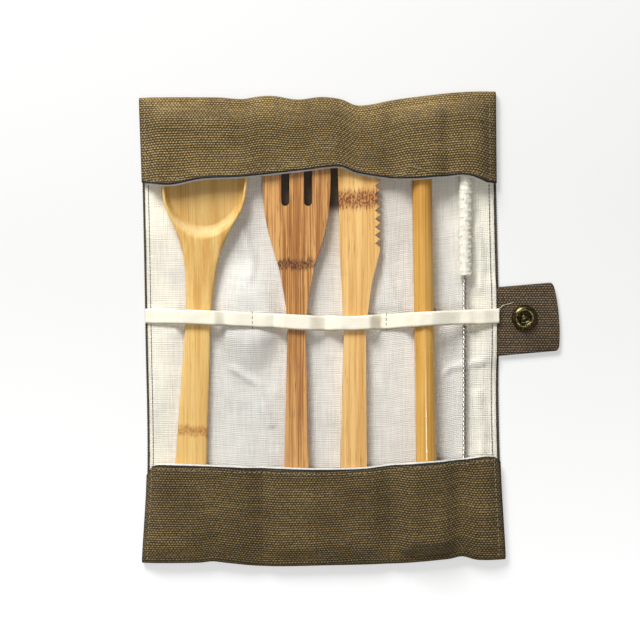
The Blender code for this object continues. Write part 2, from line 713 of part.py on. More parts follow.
def spoon_sections():
    """(y, half width, top, bottom, height of the widest line, roundness below) along the spoon."""
    end_half = spoon_half_width(CUTLERY_END)
    places = [(CUTLERY_END + SPOON_END_RADIUS * (1 - math.cos(a)), end_half - SPOON_END_RADIUS * (1 - math.sin(a)))
              for a in (0.3, math.pi / 4, math.pi / 2)]
    places += [(place_at(share), spoon_half_width(place_at(share))) for share in SPOON_STATIONS]
    bowl_length = CUTLERY_TOP - SPOON_BOWL_CENTRE
    for a in [math.radians(degrees) for degrees in SPOON_BOWL_ANGLES]:
        places.append((SPOON_BOWL_CENTRE + bowl_length * math.sin(a), SPOON_HALF_WIDTH * math.cos(a)))
    blend_start, blend_end = SPOON_BOWL_BLEND
    sections = []
    for y, half in places:
        share = share_at(y)
        high = SPOON_RIM_HEIGHT * along(SPOON_TOP, share)
        low = SPOON_RIM_HEIGHT * along(SPOON_BOTTOM, share)
        bowl = min(max((share - blend_start) / (blend_end - blend_start), 0.0), 1.0)
        widest = (1 - bowl) * (high + low) / 2 + bowl * (high - SPOON_RIM_DROP)
        sections.append((y, half, high, low, widest, 4.5 - 2.3 * bowl))
    return sections


def section_loop(half, high, low, widest, roundness, count):
    """Points round one cross-section: square-shouldered above, more or less round below."""
    loop = []
    for i in range(count):
        a = 2 * math.pi * i / count
        c, s = math.cos(a), math.sin(a)
        power = 4.5 if s >= 0 else roundness
        x = half * math.copysign(abs(c) ** (2 / power), c)
        reach = high - widest if s >= 0 else widest - low
        loop.append((x, widest + reach * math.copysign(abs(s) ** (2 / power), s)))
    return loop


def spoon_blank():
    """The spoon before its bowl is hollowed: a loft through unlike sections."""
    count = 20
    mesh = bmesh.new()
    rings = []
    for y, half, high, low, widest, roundness in spoon_sections():
        loop = section_loop(half, high, low, widest, roundness, count)
        rings.append([mesh.verts.new((x, y, z)) for x, z in loop])
    for ring, following in zip(rings, rings[1:]):
        for i in range(count):
            j = (i + 1) % count
            mesh.faces.new((ring[i], ring[j], following[j], following[i]))
    mesh.faces.new(rings[0])
    mesh.faces.new(list(reversed(rings[-1])))
    bmesh.ops.recalc_face_normals(mesh, faces=mesh.faces[:])
    data = bpy.data.meshes.new("spoon")
    mesh.to_mesh(data)
    mesh.free()
    return bpy.data.objects.new("spoon", data)


def spoon_scoop():
    """The ellipsoid that hollows the bowl, its middle a little above the rim."""
    bpy.ops.mesh.primitive_uv_sphere_add(segments=30, ring_count=16, radius=1.0)
    scoop = bpy.context.object
    scoop.name = "spoon_scoop"
    reach_z = SPOON_RIM_HEIGHT - SPOON_FLOOR_THICKNESS + SPOON_SCOOP_RISE
    at_rim = math.sqrt(1 - (SPOON_SCOOP_RISE / reach_z) ** 2)
    reach_x = (SPOON_HALF_WIDTH - SPOON_RIM_WIDTH) / at_rim
    half_length = (CUTLERY_TOP - SPOON_RIM_WIDTH - SPOON_SCOOP_START) / 2
    middle = Vector((0.0, SPOON_SCOOP_START + half_length, SPOON_RIM_HEIGHT + SPOON_SCOOP_RISE))
    for vert in scoop.data.vertices:
        x, y, z = vert.co
        vert.co = middle + Vector((x * reach_x, y * half_length / at_rim, z * reach_z))
    return scoop


def make_spoon(collection, cutters, finish):
    """A blank with the bowl hollowed out of its top."""
    obj, scoop = spoon_blank(), spoon_scoop()
    place(obj, collection, finish)
    cut(obj, scoop, "DIFFERENCE", cutters)
    for piece in (obj, scoop):
        piece.location = (SPOON_X, 0.0, FLOOR)
        piece.rotation_euler = (0.0, 0.0, -SPOON_LEAN)
    smooth(obj)


def handle_end(left, right):
    """The rounded lower end of a handle, from its -X side to its +X side."""
    radius = HANDLE_CORNER
    return (arc(left + radius, CUTLERY_END + radius, radius, 180, 270, 3)
            + arc(right - radius, CUTLERY_END + radius, radius, -90, 0, 3))


def fork_outline():
    """Three tines with round tips and round-ended slots, a narrow neck and a handle."""
    slot = FORK_SLOT_WIDTH / 2
    inner = FORK_SLOT_SPACING / 2
    shoulder = CUTLERY_TOP - FORK_TIP_DEPTH
    half_top = fork_half_width(shoulder)
    middle_tine = inner - slot
    side_tine = (half_top - inner - slot) / 2
    end_half = fork_half_width(CUTLERY_END)
    right = [(fork_half_width(place_at(share)), place_at(share)) for share in FORK_STATIONS]
    points = handle_end(-end_half, end_half) + right
    points += arc(half_top - side_tine, shoulder, side_tine, 0, 180, 8)
    points += arc(inner, FORK_SLOT_END + slot, slot, 0, -180, 8)
    points += arc(0.0, shoulder, middle_tine, 0, 180, 8)
    points += arc(-inner, FORK_SLOT_END + slot, slot, 0, -180, 8)
    points += arc(-half_top + side_tine, shoulder, side_tine, 0, 180, 8)
    points += [(-x, y) for x, y in reversed(right)]
    return points


def trim(obj, name, bottom, top, cutters):
    """Keeps what lies between two curves of (y, z) points, seen from the side."""
    solid = side_profile(name, top, bottom, TRIM_WIDTH)
    cut(obj, solid, "INTERSECT", cutters)
    return solid


def make_fork(collection, cutters, finish):
    """The outline of the fork, trimmed from the side: the tines turn up towards their tips."""
    obj = outline_solid("fork", fork_outline(), BLANK_DEPTH)
    places = sampled(CUTLERY_END - TRIM_MARGIN, CUTLERY_TOP + TRIM_MARGIN, 16)
    bottom = [(y, FORK_TIP_LIFT * along(FORK_LIFT, share_at(y))) for y in places]
    thinner = FORK_HANDLE_THICKNESS - FORK_TINE_THICKNESS
    top = [(y, z + FORK_HANDLE_THICKNESS - thinner * along(FORK_THINNING, share_at(y))) for y, z in bottom]
    side = trim(obj, "fork_side", bottom, top, cutters)
    for piece in (obj, side):
        piece.location = (FORK_X, 0.0, FLOOR)
    round_edges(obj, EDGE_ROUNDING)
    place(obj, collection, finish)
    smooth(obj)


def knife_outline():
    """A straight-backed blade with a round tip, a shouldered edge and a handle."""
    tip_y = CUTLERY_TOP - KNIFE_TIP_RADIUS
    back = [(knife_back(place_at(share)), place_at(share)) for share, _ in KNIFE_BACK]
    belly = [(knife_belly(place_at(share)), place_at(share)) for share, _ in KNIFE_BELLY]
    points = handle_end(back[0][0], belly[0][0]) + belly
    points += [(KNIFE_EDGE_X, KNIFE_FIRST_NOTCH - KNIFE_HEEL), (KNIFE_EDGE_X, tip_y)]
    points += arc(KNIFE_EDGE_X - KNIFE_TIP_RADIUS, tip_y, KNIFE_TIP_RADIUS, 15, 90, 6)
    points += arc(back[-1][0] + KNIFE_BACK_RADIUS, CUTLERY_TOP - KNIFE_BACK_RADIUS, KNIFE_BACK_RADIUS, 90, 165, 5)
    points += reversed(back)
    return points


def knife_notches():
    """A row of round pegs that cut the teeth."""
    notches = cylinder("knife_notches", KNIFE_NOTCH_RADIUS, BLANK_DEPTH, 12)
    row = notches.modifiers.new("row", "ARRAY")
    row.count = KNIFE_TOOTH_COUNT
    row.use_relative_offset = False
    row.use_constant_offset = True
    row.constant_offset_displace = (0.0, KNIFE_TOOTH_PITCH, 0.0)
    apply_modifiers(notches)
    return notches


def make_knife(collection, cutters, finish):
    """The outline of the knife, thinner towards its tip, with a row of notches along its edge."""
    obj = outline_solid("knife", knife_outline(), BLANK_DEPTH)
    places = sampled(CUTLERY_END - TRIM_MARGIN, CUTLERY_TOP + TRIM_MARGIN, 14)
    bottom = [(y, 0.0) for y in places]
    thinner = KNIFE_THICKNESS - KNIFE_TIP_THICKNESS
    top = [(y, KNIFE_THICKNESS - thinner * along(KNIFE_THINNING, share_at(y))) for y in places]
    side = trim(obj, "knife_side", bottom, top, cutters)
    notches = knife_notches()
    cut(obj, notches, "DIFFERENCE", cutters)
    notches.location = (KNIFE_X + KNIFE_EDGE_X, KNIFE_FIRST_NOTCH, FLOOR)
    for piece in (obj, side):
        piece.location = (KNIFE_X, 0.0, FLOOR)
    round_edges(obj, EDGE_ROUNDING * 0.6, segments=1)
    place(obj, collection, finish)
    smooth(obj)


def turned(name, profile, closed, steps=ROUND_STEPS):
    """A shape turned about Z from a profile of (radius, z) points that runs down its outer side."""
    mesh = bpy.data.meshes.new(name)
    edges = [(i, i + 1) for i in range(len(profile) - 1)]
    if closed:
        edges.append((len(profile) - 1, 0))
    mesh.from_pydata([(r, 0.0, z) for r, z in profile], edges, [])
    obj = bpy.data.objects.new(name, mesh)
    bpy.context.scene.collection.objects.link(obj)
    screw = obj.modifiers.new("turning", "SCREW")
    screw.axis = "Z"
    screw.angle = 2 * math.pi
    screw.steps = screw.render_steps = steps
    screw.use_merge_vertices = True
    screw.merge_threshold = 0.00001
    weld = obj.modifiers.new("weld", "WELD")
    weld.merge_threshold = 0.00001
    return obj


def make_straw(collection, finish):
    """A tube that widens a little towards its lower end, with softened rims."""
    length = (STRAW_TOP - STRAW_END) / math.cos(STRAW_LEAN)
    top, end, bore, soft = STRAW_TOP_DIAMETER / 2, STRAW_END_DIAMETER / 2, STRAW_BORE / 2, STRAW_RIM
    profile = [(top - soft, length), (top, length - soft), (end, soft), (end - soft, 0.0),
               (bore + soft, 0.0), (bore, soft), (bore, length - soft), (bore + soft, length)]
    obj = turned("straw", profile, True, steps=28)
    obj.location = (straw_x(STRAW_END), STRAW_END, FLOOR + STRAW_END_DIAMETER / 2)
    obj.rotation_euler = (-math.pi / 2, 0.0, -STRAW_LEAN)
    place(obj, collection, finish)
    smooth(obj)


def make_brush(collection, wire_finish, bristle_finish):
    """A straight wire with a ribbed head of bristles round its upper end."""
    data = bpy.data.curves.new("brush_wire", "CURVE")
    data.dimensions = "3D"
    data.bevel_depth = WIRE_DIAMETER / 2
    data.bevel_resolution = 2
    data.use_fill_caps = True
    spline = data.splines.new("POLY")
    spline.points.add(1)
    for point, y in zip(spline.points, (WIRE_END, WIRE_TOP)):
        point.co = (0.0, y, brush_height(y), 1.0)
    wire = bpy.data.objects.new("brush_wire", data)
    wire.location = (BRUSH_X, 0.0, 0.0)
    place(wire, collection, wire_finish)
    outer, bore = BRISTLE_DIAMETER / 2, WIRE_DIAMETER / 2 + GAP
    length = (BRISTLE_TOP - BRISTLE_END) / math.cos(brush_lean())
    ribs = round(length / BRISTLE_RIB_PITCH)
    pitch = length / ribs
    profile = [(bore, length), (outer * 0.6, length)]
    for i in range(ribs):
        crest = length - pitch * (i + 0.5)
        profile.append((outer, crest))
        if i < ribs - 1:
            profile.append((outer - BRISTLE_RIB_DEPTH, crest - pitch / 2))
    profile += [(outer * 0.6, 0.0), (bore, 0.0)]
    head = turned("brush_bristles", profile, True, steps=14)
    head.location = (BRUSH_X, BRISTLE_END, brush_height(BRISTLE_END))
    head.rotation_euler = (-math.pi / 2 + brush_lean(), 0.0, 0.0)
    place(head, collection, bristle_finish)
    smooth(head, math.radians(60))


def snap_centre():
    """Middle of the snap on the tab."""
    along_tab = Vector((math.cos(TAB_TURN), math.sin(TAB_TURN), 0.0))
    across_tab = Vector((-math.sin(TAB_TURN), math.cos(TAB_TURN), 0.0))
    root = Vector((right_edge(TAB_Y), TAB_Y, 0.0))
    return root + along_tab * SNAP_FROM_EDGE + across_tab * SNAP_OFF_CENTRE


def make_tab(collection, cutters, finish):
    """A doubled strip of canvas with soft corners and a bulging end, pierced for the snap's post."""
    half, corner = TAB_WIDTH / 2, TAB_CORNER
    end_radius = (half ** 2 + TAB_BULGE ** 2) / (2 * TAB_BULGE)
    points = [(-TAB_INSERT, half), (-TAB_INSERT, -half)]
    points += arc(TAB_REACH - TAB_BULGE - corner, -half + corner, corner, -90, -10, 3)
    sweep = math.degrees(math.asin((half - corner) / end_radius))
    points += arc(TAB_REACH - end_radius, 0.0, end_radius, -sweep, sweep, 8)
    points += arc(TAB_REACH - TAB_BULGE - corner, half - corner, corner, 10, 90, 3)
    obj = outline_solid("closing_tab", points, TAB_THICKNESS)
    hole = cylinder("tab_hole", POST_DIAMETER / 2 + GAP, 4 * TAB_THICKNESS, 20)
    cut(obj, hole, "DIFFERENCE", cutters)
    hole.location = snap_centre() + Vector((0.0, 0.0, TAB_BOTTOM))
    obj.location = (right_edge(TAB_Y), TAB_Y, TAB_BOTTOM + TAB_THICKNESS / 2)
    obj.rotation_euler = (0.0, 0.0, TAB_TURN)
    round_edges(obj, TAB_ROUNDING, segments=1)
    place(obj, collection, finish)
    smooth(obj)


def snap_cap_profile(cap_top, post_top):
    """A flat cap with a softened rim and the post that rises from it through the tab."""
    outer, post, soft = SNAP_DIAMETER / 2, POST_DIAMETER / 2, METAL_CHAMFER
    return [(0.0, post_top), (post - soft, post_top), (post, post_top - soft), (post, cap_top),
            (outer - 2 * soft, cap_top), (outer, cap_top - soft), (outer, cap_top - 2 * soft),
            (outer - SNAP_CROWN, cap_top - CAP_THICKNESS), (0.0, cap_top - CAP_THICKNESS)]


def snap_socket_profile():
    """A ring with a rolled crown, hollow under its lip where the spring lies."""
    outer, hole, recess = SNAP_DIAMETER / 2, SNAP_HOLE / 2, SOCKET_RECESS / 2
    lip, soft = SOCKET_HEIGHT - SOCKET_LIP, METAL_CHAMFER
    return [(hole + 2 * SNAP_BEAD, SOCKET_HEIGHT), (hole + 3 * SNAP_BEAD, SOCKET_HEIGHT - soft / 2),
            (outer - SNAP_BEAD, SOCKET_HEIGHT * 0.62), (outer, SOCKET_HEIGHT * 0.30), (outer, 0.0),
            (POST_DIAMETER / 2 + GAP, 0.0), (POST_DIAMETER / 2 + GAP, SOCKET_FLOOR),
            (recess, SOCKET_FLOOR), (recess, lip), (hole, lip), (hole, SOCKET_HEIGHT - SNAP_BEAD),
            (hole + SNAP_BEAD, SOCKET_HEIGHT - soft / 2)]


def make_spring(collection, centre, finish):
    """The rounded square of wire in the socket."""
    data = bpy.data.curves.new("snap_spring", "CURVE")
    data.dimensions = "3D"
    data.bevel_depth = SPRING_WIRE / 2
    data.bevel_resolution = 1
    reach_x, reach_y = SPRING_HALF_LENGTH - SPRING_CORNER, SPRING_HALF_WIDTH - SPRING_CORNER
    points = []
    for sign_x, sign_y, start in ((1, 1, 0), (-1, 1, 90), (-1, -1, 180), (1, -1, 270)):
        points += arc(sign_x * reach_x, sign_y * reach_y, SPRING_CORNER, start, start + 90, 3)
    spline = data.splines.new("POLY")
    spline.points.add(len(points) - 1)
    for point, (x, y) in zip(spline.points, points):
        point.co = (x, y, 0.0, 1.0)
    spline.use_cyclic_u = True
    spring = bpy.data.objects.new("snap_spring", data)
    spring.location = centre
    place(spring, collection, finish)


def make_snap(collection, metal, steel):
    """Cap and post below the tab, the socket ring above it, and the spring that grips the stud."""
    centre = snap_centre()
    seat = TAB_BOTTOM + TAB_THICKNESS + GAP
    cap = turned("snap_cap", snap_cap_profile(TAB_BOTTOM - GAP, seat + SOCKET_FLOOR + GAP), False)
    ring = turned("snap_socket", snap_socket_profile(), True, steps=36)
    cap.location = centre
    ring.location = centre + Vector((0.0, 0.0, seat))
    for obj in (cap, ring):
        place(obj, collection, metal)
        smooth(obj)
    over_floor = seat + SOCKET_FLOOR + GAP + SPRING_WIRE / 2
    make_spring(collection, centre + Vector((0.0, 0.0, over_floor)), steel)


def stud_profile(plate_top, base):
    """A plate with a round head below it, bored for the post."""
    outer, head, bore = STUD_DIAMETER / 2, STUD_HEAD_DIAMETER / 2, POST_DIAMETER / 2 + GAP
    under, soft = plate_top - STUD_PLATE, METAL_CHAMFER
    return [(bore, plate_top), (outer - soft, plate_top), (outer, plate_top - soft), (outer, under),
            (head - soft, under), (head, base + 4 * soft), (head - soft, base + soft / 2),
            (head - 3 * soft, base), (bore, base)]


def stud_post_profile(seat, base):
    """A thin flange over the canvas and the post that runs down through the stud."""
    flange, post, soft = STUD_FLANGE_DIAMETER / 2, POST_DIAMETER / 2, METAL_CHAMFER / 2
    top = seat + STUD_FLANGE
    return [(0.0, top), (flange - soft, top), (flange, top - soft), (flange, seat), (post, seat),
            (post, base), (0.0, base)]


def make_stud(collection, metal):
    """The stud on the back of the roll and the flanged post that holds it through the canvas."""
    plate_top = DOME_HEIGHT - GAP
    base = plate_top - STUD_HEIGHT
    seat = DOME_HEIGHT + CANVAS_THICKNESS + GAP
    stud = turned("snap_stud", stud_profile(plate_top, base), True, steps=24)
    rivet = turned("stud_post", stud_post_profile(seat, base + STUD_FLANGE), False, steps=24)
    for obj in (stud, rivet):
        obj.location = (STUD_X, STUD_Y, 0.0)
        place(obj, collection, metal)
        smooth(obj)


def main():
    for obj in list(bpy.data.objects):
        bpy.data.objects.remove(obj)
    collection = bpy.data.collections.new("cutlery_pack")
    cutters = bpy.data.collections.new("cutters")
    for made in (collection, cutters):
        bpy.context.scene.collection.children.link(made)
    canvas = material("olive_canvas", (0.105, 0.075, 0.036), 0.95)
    make_canvas(collection, cutters, canvas)
    make_lining(collection, material("linen_lining", (0.74, 0.69, 0.61), 0.9))
    make_tape(collection, material("cotton_tape", (0.93, 0.89, 0.74), 0.85))
    make_tab(collection, cutters, material("tab_canvas", (0.095, 0.068, 0.038), 0.95))
    brass = material("antique_brass", (0.30, 0.23, 0.09), 0.35, 1.0)
    make_snap(collection, brass, material("spring_steel", (0.25, 0.24, 0.22), 0.3, 1.0))
    make_stud(collection, material("stud_brass", (0.30, 0.23, 0.09), 0.35, 1.0))
    make_spoon(collection, cutters, material("spoon_bamboo", (0.80, 0.50, 0.16), 0.5))
    make_fork(collection, cutters, material("fork_bamboo", (0.52, 0.27, 0.08), 0.5))
    make_knife(collection, cutters, material("knife_bamboo", (0.75, 0.44, 0.15), 0.5))
    make_straw(collection, material("straw_bamboo", (0.64, 0.36, 0.07), 0.3))
    make_brush(collection, material("brush_steel", (0.44, 0.42, 0.39), 0.3, 1.0),
               material("brush_nylon", (0.92, 0.88, 0.74), 0.7))


main()
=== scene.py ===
"""Looks of the bamboo cutlery pack: an unrolled canvas roll with a spoon, fork, knife, straw and brush."""
import math

import bmesh
import bpy
import numpy as np
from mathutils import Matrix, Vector, noise


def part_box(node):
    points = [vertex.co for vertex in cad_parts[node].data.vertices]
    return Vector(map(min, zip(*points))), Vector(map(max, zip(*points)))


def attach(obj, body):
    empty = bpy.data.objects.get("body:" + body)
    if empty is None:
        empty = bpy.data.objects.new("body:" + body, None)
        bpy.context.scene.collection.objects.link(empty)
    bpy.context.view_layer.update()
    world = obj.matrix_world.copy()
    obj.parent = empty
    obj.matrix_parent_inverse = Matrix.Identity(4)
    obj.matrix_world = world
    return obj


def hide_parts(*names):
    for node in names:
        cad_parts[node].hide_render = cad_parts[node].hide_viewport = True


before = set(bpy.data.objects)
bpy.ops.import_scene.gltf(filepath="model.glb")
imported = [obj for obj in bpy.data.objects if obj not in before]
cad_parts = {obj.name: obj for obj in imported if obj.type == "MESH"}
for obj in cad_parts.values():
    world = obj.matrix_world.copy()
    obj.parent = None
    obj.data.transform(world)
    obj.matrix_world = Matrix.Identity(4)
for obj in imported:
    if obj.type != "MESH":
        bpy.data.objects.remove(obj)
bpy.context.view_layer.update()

# Cloth, and the gap between pieces that touch
CANVAS_THICKNESS = 0.0008
LINING_THICKNESS = 0.0005
TAPE_THICKNESS = 0.0006
GAP = 0.0003

# Roll, laid open
ROLL_WIDTH = 0.1684
ROLL_LENGTH = 0.2226
FLAP_DEPTH = 0.0375
POCKET_DEPTH = 0.0475
FLAP_FOLD_HEIGHT = 0.0064
POCKET_FOLD_HEIGHT = 0.0058
FLAP_GAPE = 0.0072
POCKET_GAPE = 0.0078
SEAM_LEFT_X = -0.0282
SEAM_RIGHT_X = 0.0322
LINING_INSET = 0.0011
LINING_SHOWS = 0.0007
SIDE_RISE = 0.0082
SEAM_RISE = 0.0092
SEAM_EASE = 0.50
FLAP_RISE = 0.0098
POCKET_RISE = 0.0075
SAG_REACH = 0.0170
CLOTH_BLEND = 6

# Soft waves of the cloth's edges, as (place, departure from the straight edge)
LEFT_DRIFT = ((-0.111, -0.0012), (-0.066, 0.0012), (0.000, 0.0002), (0.040, -0.0005), (0.070, -0.0012),
              (0.111, -0.0026))
RIGHT_DRIFT = ((-0.108, 0.0038), (-0.066, 0.0014), (-0.030, 0.0006), (0.000, 0.0009), (0.060, -0.0004),
               (0.111, -0.0009))
FLAP_FOLD_DRIFT = ((-0.086, -0.0003), (-0.049, -0.0003), (-0.0375, -0.0011), (-0.030, 0.0001),
                   (-0.023, 0.0004), (-0.011, -0.0013), (0.000, -0.0001), (0.0095, -0.0012),
                   (0.0165, -0.0040), (0.023, -0.0038), (0.035, -0.0015), (0.057, 0.0013),
                   (0.069, 0.0023), (0.084, 0.0027))
FLAP_EDGE_DRIFT = ((-0.086, -0.0032), (-0.072, -0.0050), (-0.0565, -0.0022), (-0.0375, -0.0012),
                   (-0.0076, 0.0021), (0.0038, 0.0035), (0.0105, 0.0035), (0.0162, 0.0011),
                   (0.0295, -0.0012), (0.043, -0.0022), (0.057, -0.0012), (0.069, -0.0003),
                   (0.080, -0.0036))
POCKET_EDGE_DRIFT = ((-0.084, -0.0055), (-0.081, -0.0010), (-0.073, -0.0003), (-0.028, -0.0018),
                     (0.014, -0.0023), (0.045, 0.0008), (0.068, 0.0025), (0.081, 0.0035),
                     (0.086, -0.0010))
POCKET_FOLD_DRIFT = ((-0.085, 0.0000), (-0.058, 0.0002), (-0.0515, 0.0009), (-0.0455, 0.0002),
                     (-0.027, -0.0014), (0.004, -0.0010), (0.038, 0.0000), (0.060, 0.0020),
                     (0.066, 0.0033), (0.0725, 0.0016), (0.085, 0.0017))

# Creases of the lining, each a line of points with the half width of its ridge
CREASES = ((((0.0552, -0.0238), (0.0619, -0.0176), (0.0767, -0.0152)), 0.0011),
           (((0.0745, 0.0500), (0.0770, 0.0300), (0.0752, 0.0190)), 0.0012),
           (((0.0750, -0.0300), (0.0778, -0.0480), (0.0765, -0.0600)), 0.0012),
           (((-0.0420, -0.0180), (-0.0300, -0.0260), (-0.0240, -0.0450)), 0.0013),
           (((-0.0390, 0.0500), (-0.0330, 0.0350), (-0.0340, 0.0240)), 0.0013),
           (((0.0300, 0.0330), (0.0350, 0.0150), (0.0400, 0.0040)), 0.0012))

# Cutlery, its outlines as (place, half width)
CUTLERY_TOP = 0.0965
CUTLERY_END = -0.1015
SPOON_X = -0.0588
SPOON_LEAN = math.radians(2.8)
SPOON_HALF_WIDTH = 0.0203
SPOON_RIM_HEIGHT = 0.0074
SPOON_HANDLE_THICKNESS = 0.0043
SPOON_WIDTHS = ((-0.100, 0.0080), (0.003, 0.0061), (0.025, 0.0070), (0.043, 0.0110), (0.059, 0.0187),
                (0.070, SPOON_HALF_WIDTH))
SPOON_NECK = 0.0360
SPOON_BOWL_CENTRE = 0.0700
SPOON_END_RADIUS = 0.0022
SPOON_RIM_DROP = 0.0010
SPOON_SIDES = 48
HANDLE_PITCH = 0.0025
BOWL_PITCH = 0.0006
HANDLE_ROUNDNESS = 4.5
BOWL_ROUNDNESS = 2.2

# Loft of the spoon, as (share of its length, share of its half width or of its rim's height)
SPOON_SHAPE = ((0.008, 0.394), (0.189, 0.365), (0.528, 0.300), (0.563, 0.296), (0.639, 0.345),
               (0.694, 0.433), (0.730, 0.542), (0.765, 0.700), (0.811, 0.921), (0.866, 1.0))
SPOON_TOP = ((0.008, 0.581), (0.563, 0.581), (0.694, 0.811), (0.775, 1.0), (1.0, 1.0))
SPOON_BOTTOM = ((0.008, 0.0), (0.412, 0.0), (0.624, 0.122), (0.755, 0.027), (0.836, 0.0),
                (0.907, 0.041), (0.967, 0.216), (1.0, 0.568))
SPOON_BLEND = (0.654, 0.785)

# Hollow of the bowl, its two outlines as (middle, half length, half width)
SCOOP_DEPTH = 0.0051
SCOOP_OUTER = (0.0687, 0.0258, 0.0192)
SCOOP_INNER = (0.0715, 0.0215, 0.0182)

# Fork, knife, straw and brush
FORK_X = -0.0116
FORK_HALF_WIDTH = 0.0162
FORK_TIP_HEIGHT = 0.0068
FORK_HANDLE_THICKNESS = 0.0048
FORK_WIDTHS = ((-0.100, 0.0062), (-0.066, 0.0059), (0.000, 0.0043), (0.010, 0.0050), (0.0295, 0.0084),
               (0.0424, 0.0124), (0.056, 0.0153), (0.074, FORK_HALF_WIDTH))
KNIFE_X = 0.0160
KNIFE_THICKNESS = 0.0045
KNIFE_EDGE_X = 0.0122
KNIFE_WIDTHS = ((-0.100, 0.0066), (0.000, 0.0053), (0.022, 0.0081), (0.038, KNIFE_EDGE_X))
KNIFE_TOOTH_PITCH = 0.0039
KNIFE_TOOTH_COUNT = 12
KNIFE_FIRST_NOTCH = 0.0413
KNIFE_NOTCH_DEPTH = 0.0026
KNIFE_NOTCH_HALF = 0.0017
CUTTER_BEYOND = 0.0003
CUTTER_HEIGHT = 0.0120
STRAW_X = 0.0491
STRAW_LEAN = math.radians(-0.9)
STRAW_DIAMETER = 0.0100
STRAW_TOP_DIAMETER = 0.0093
STRAW_WALL = 0.0014
STRAW_END_GAP = 0.0001
STRAW_ROUNDING = 0.0002
STRAW_SIDES = 40
STRAW_STEPS = 30
BRUSH_X = 0.0685
WIRE_DIAMETER = 0.0021
WIRE_TOP = 0.0935
WIRE_END = -0.1000
WIRE_TWIST = 0.0046
BRISTLE_DIAMETER = 0.0065
BRISTLE_TOP = 0.0950
BRISTLE_END = 0.0262
BRISTLE_HEART = 0.0027
BRISTLE_RADIUS = 0.00013
BRISTLE_COUNT = 5200
BRISTLE_TURNS = 16

# Tape, tab and stud
TAPE_WIDTH = 0.0070
TAPE_SLACK = 0.0016
TAPE_EASE = 0.0010
TAPE_LEFT_INSET = 0.0030
TAPE_RIGHT_INSET = 0.0015
TAPE_CURL = 0.00025
TAPE_STEPS = 260
TAPE_ROWS = 7
TAPE_SAG = ((-0.084, 0.0067), (-0.055, 0.0060), (-0.029, 0.0047), (0.004, 0.0033), (0.031, 0.0040),
            (0.052, 0.0054), (0.085, 0.0067))
TAB_THICKNESS = 0.0014
TAB_REACH = 0.0288
TAB_WIDTH = 0.0328
TAB_TURN = math.radians(5.0)
TAB_Y = 0.0041
TAB_INSERT = 0.0060
TAB_BULGE = 0.0014
TAB_CORNER = 0.0016
TAB_LIFT_REACH = 0.0070
TAB_MIDDLE = 0.42
TAB_POINTS = 132
TAB_RINGS = 12
TAB_FROM_HEM = 0.01
TAB_WAVE = 0.00012
TAB_WITHIN = 0.00008
STUD_X = -0.0345
STUD_Y = 0.0057
STUD_DOME_FLAT = 0.0054
STUD_DOME_REACH = 0.0120
STUD_DOME_STRETCH = 0.55
STUD_DOME_MARGIN = 0.0008
DOME_HEIGHT = 0.0035
FLANGE_LIFT = 0.0008

# Knots of the tape, as distances from the middle of the piece or seam that it passes
SPOON_KNOTS = (-0.0125, -0.0075, 0.0075, 0.0130)
FORK_KNOTS = (-0.0110, -0.0060, 0.0060)
KNIFE_KNOTS = (-0.0068, 0.0068)
STRAW_KNOTS = (-0.0105, -0.0032, 0.0032)
LEFT_TACK_KNOTS = (-0.0050, -0.0020)
RIGHT_TACK_KNOTS = (-0.0034, -0.0004)

# Levels that follow from these
HALF_CANVAS = CANVAS_THICKNESS / 2
LINING_OFFSET = HALF_CANVAS + GAP + LINING_THICKNESS / 2
LINING_TOP = LINING_OFFSET + LINING_THICKNESS / 2
FLOOR = CANVAS_THICKNESS + GAP + LINING_THICKNESS + GAP
PINCHED = CANVAS_THICKNESS + 2 * LINING_THICKNESS + 3 * GAP
CLOTH_OVER = FLOOR + GAP + LINING_THICKNESS + GAP
FLAP_FOLD_Y = ROLL_LENGTH / 2
POCKET_FOLD_Y = -ROLL_LENGTH / 2
TAB_BOTTOM = CANVAS_THICKNESS + GAP
TAB_LIFT = TAB_THICKNESS + GAP
TAB_LEVEL = TAB_BOTTOM + TAB_THICKNESS / 2

# Soft waves, wrinkles and creases: the most that each rises, and where wrinkles fade beside what holds them
WAVE_RISE = 0.00120
RIPPLE_RISE = 0.00024
WRINKLE_RISE = 0.00085
CREASE_RISE = 0.0013
PIECE_CLEAR = 0.0010
PIECE_FADE = 0.0040
TAPE_CLEAR = 0.0006
TAPE_FADE = 0.0030

# Grid of the cloth, and the flat sizes of what is cut from cloth
CLOTH_PITCH = 0.0015
LAYER_ROWS = {"pocket": 34, "flap": 27}
FOLD_ROWS = 9
BASE_ROWS = 146
FIRST_BASE_ROW = LAYER_ROWS["pocket"] + FOLD_ROWS

# Sewing
THREAD = 0.00042
SEAM_PITCH = 0.0019
SEAM_STITCH = 0.00205
HEM_STITCH = 0.0016
SIDE_HEM_EASE = 0.0006
EDGE_CORD = 0.00110
EDGE_CORD_PITCH = 0.0013
EDGE_CORD_INSET = 0.0003
EDGE_CORD_RAISED = 0.0002
HEM_PITCH = 0.0024
LEFT_SEAM_INSET = 0.0027
RIGHT_SEAM_INSET = 0.0034
HEM_STITCH_INSET = 0.0022
TACKS = ((SEAM_LEFT_X - 0.0045, 0.0081), (SEAM_RIGHT_X - 0.0010, 0.0073))
TACK_PITCH = 0.0023
TACK_STITCHES = 4

# Loose threads on the flap, as (start x, y, end x, y, bow), and the one on the tab
LOOSE_ENDS = ((0.0448, 0.0822, 0.0512, 0.0780, 0.0016), (0.0400, 0.0772, 0.0660, 0.0752, -0.0012),
              (0.0470, 0.0764, 0.0440, 0.0735, 0.0008))
LOOSE_STEPS = 18
THREAD_ABOVE = 0.0005
TAB_THREAD_START = (0.0846, 0.0098)
TAB_THREAD_RUN = (0.0070, 0.0040)
TAB_THREAD_STEPS = 14

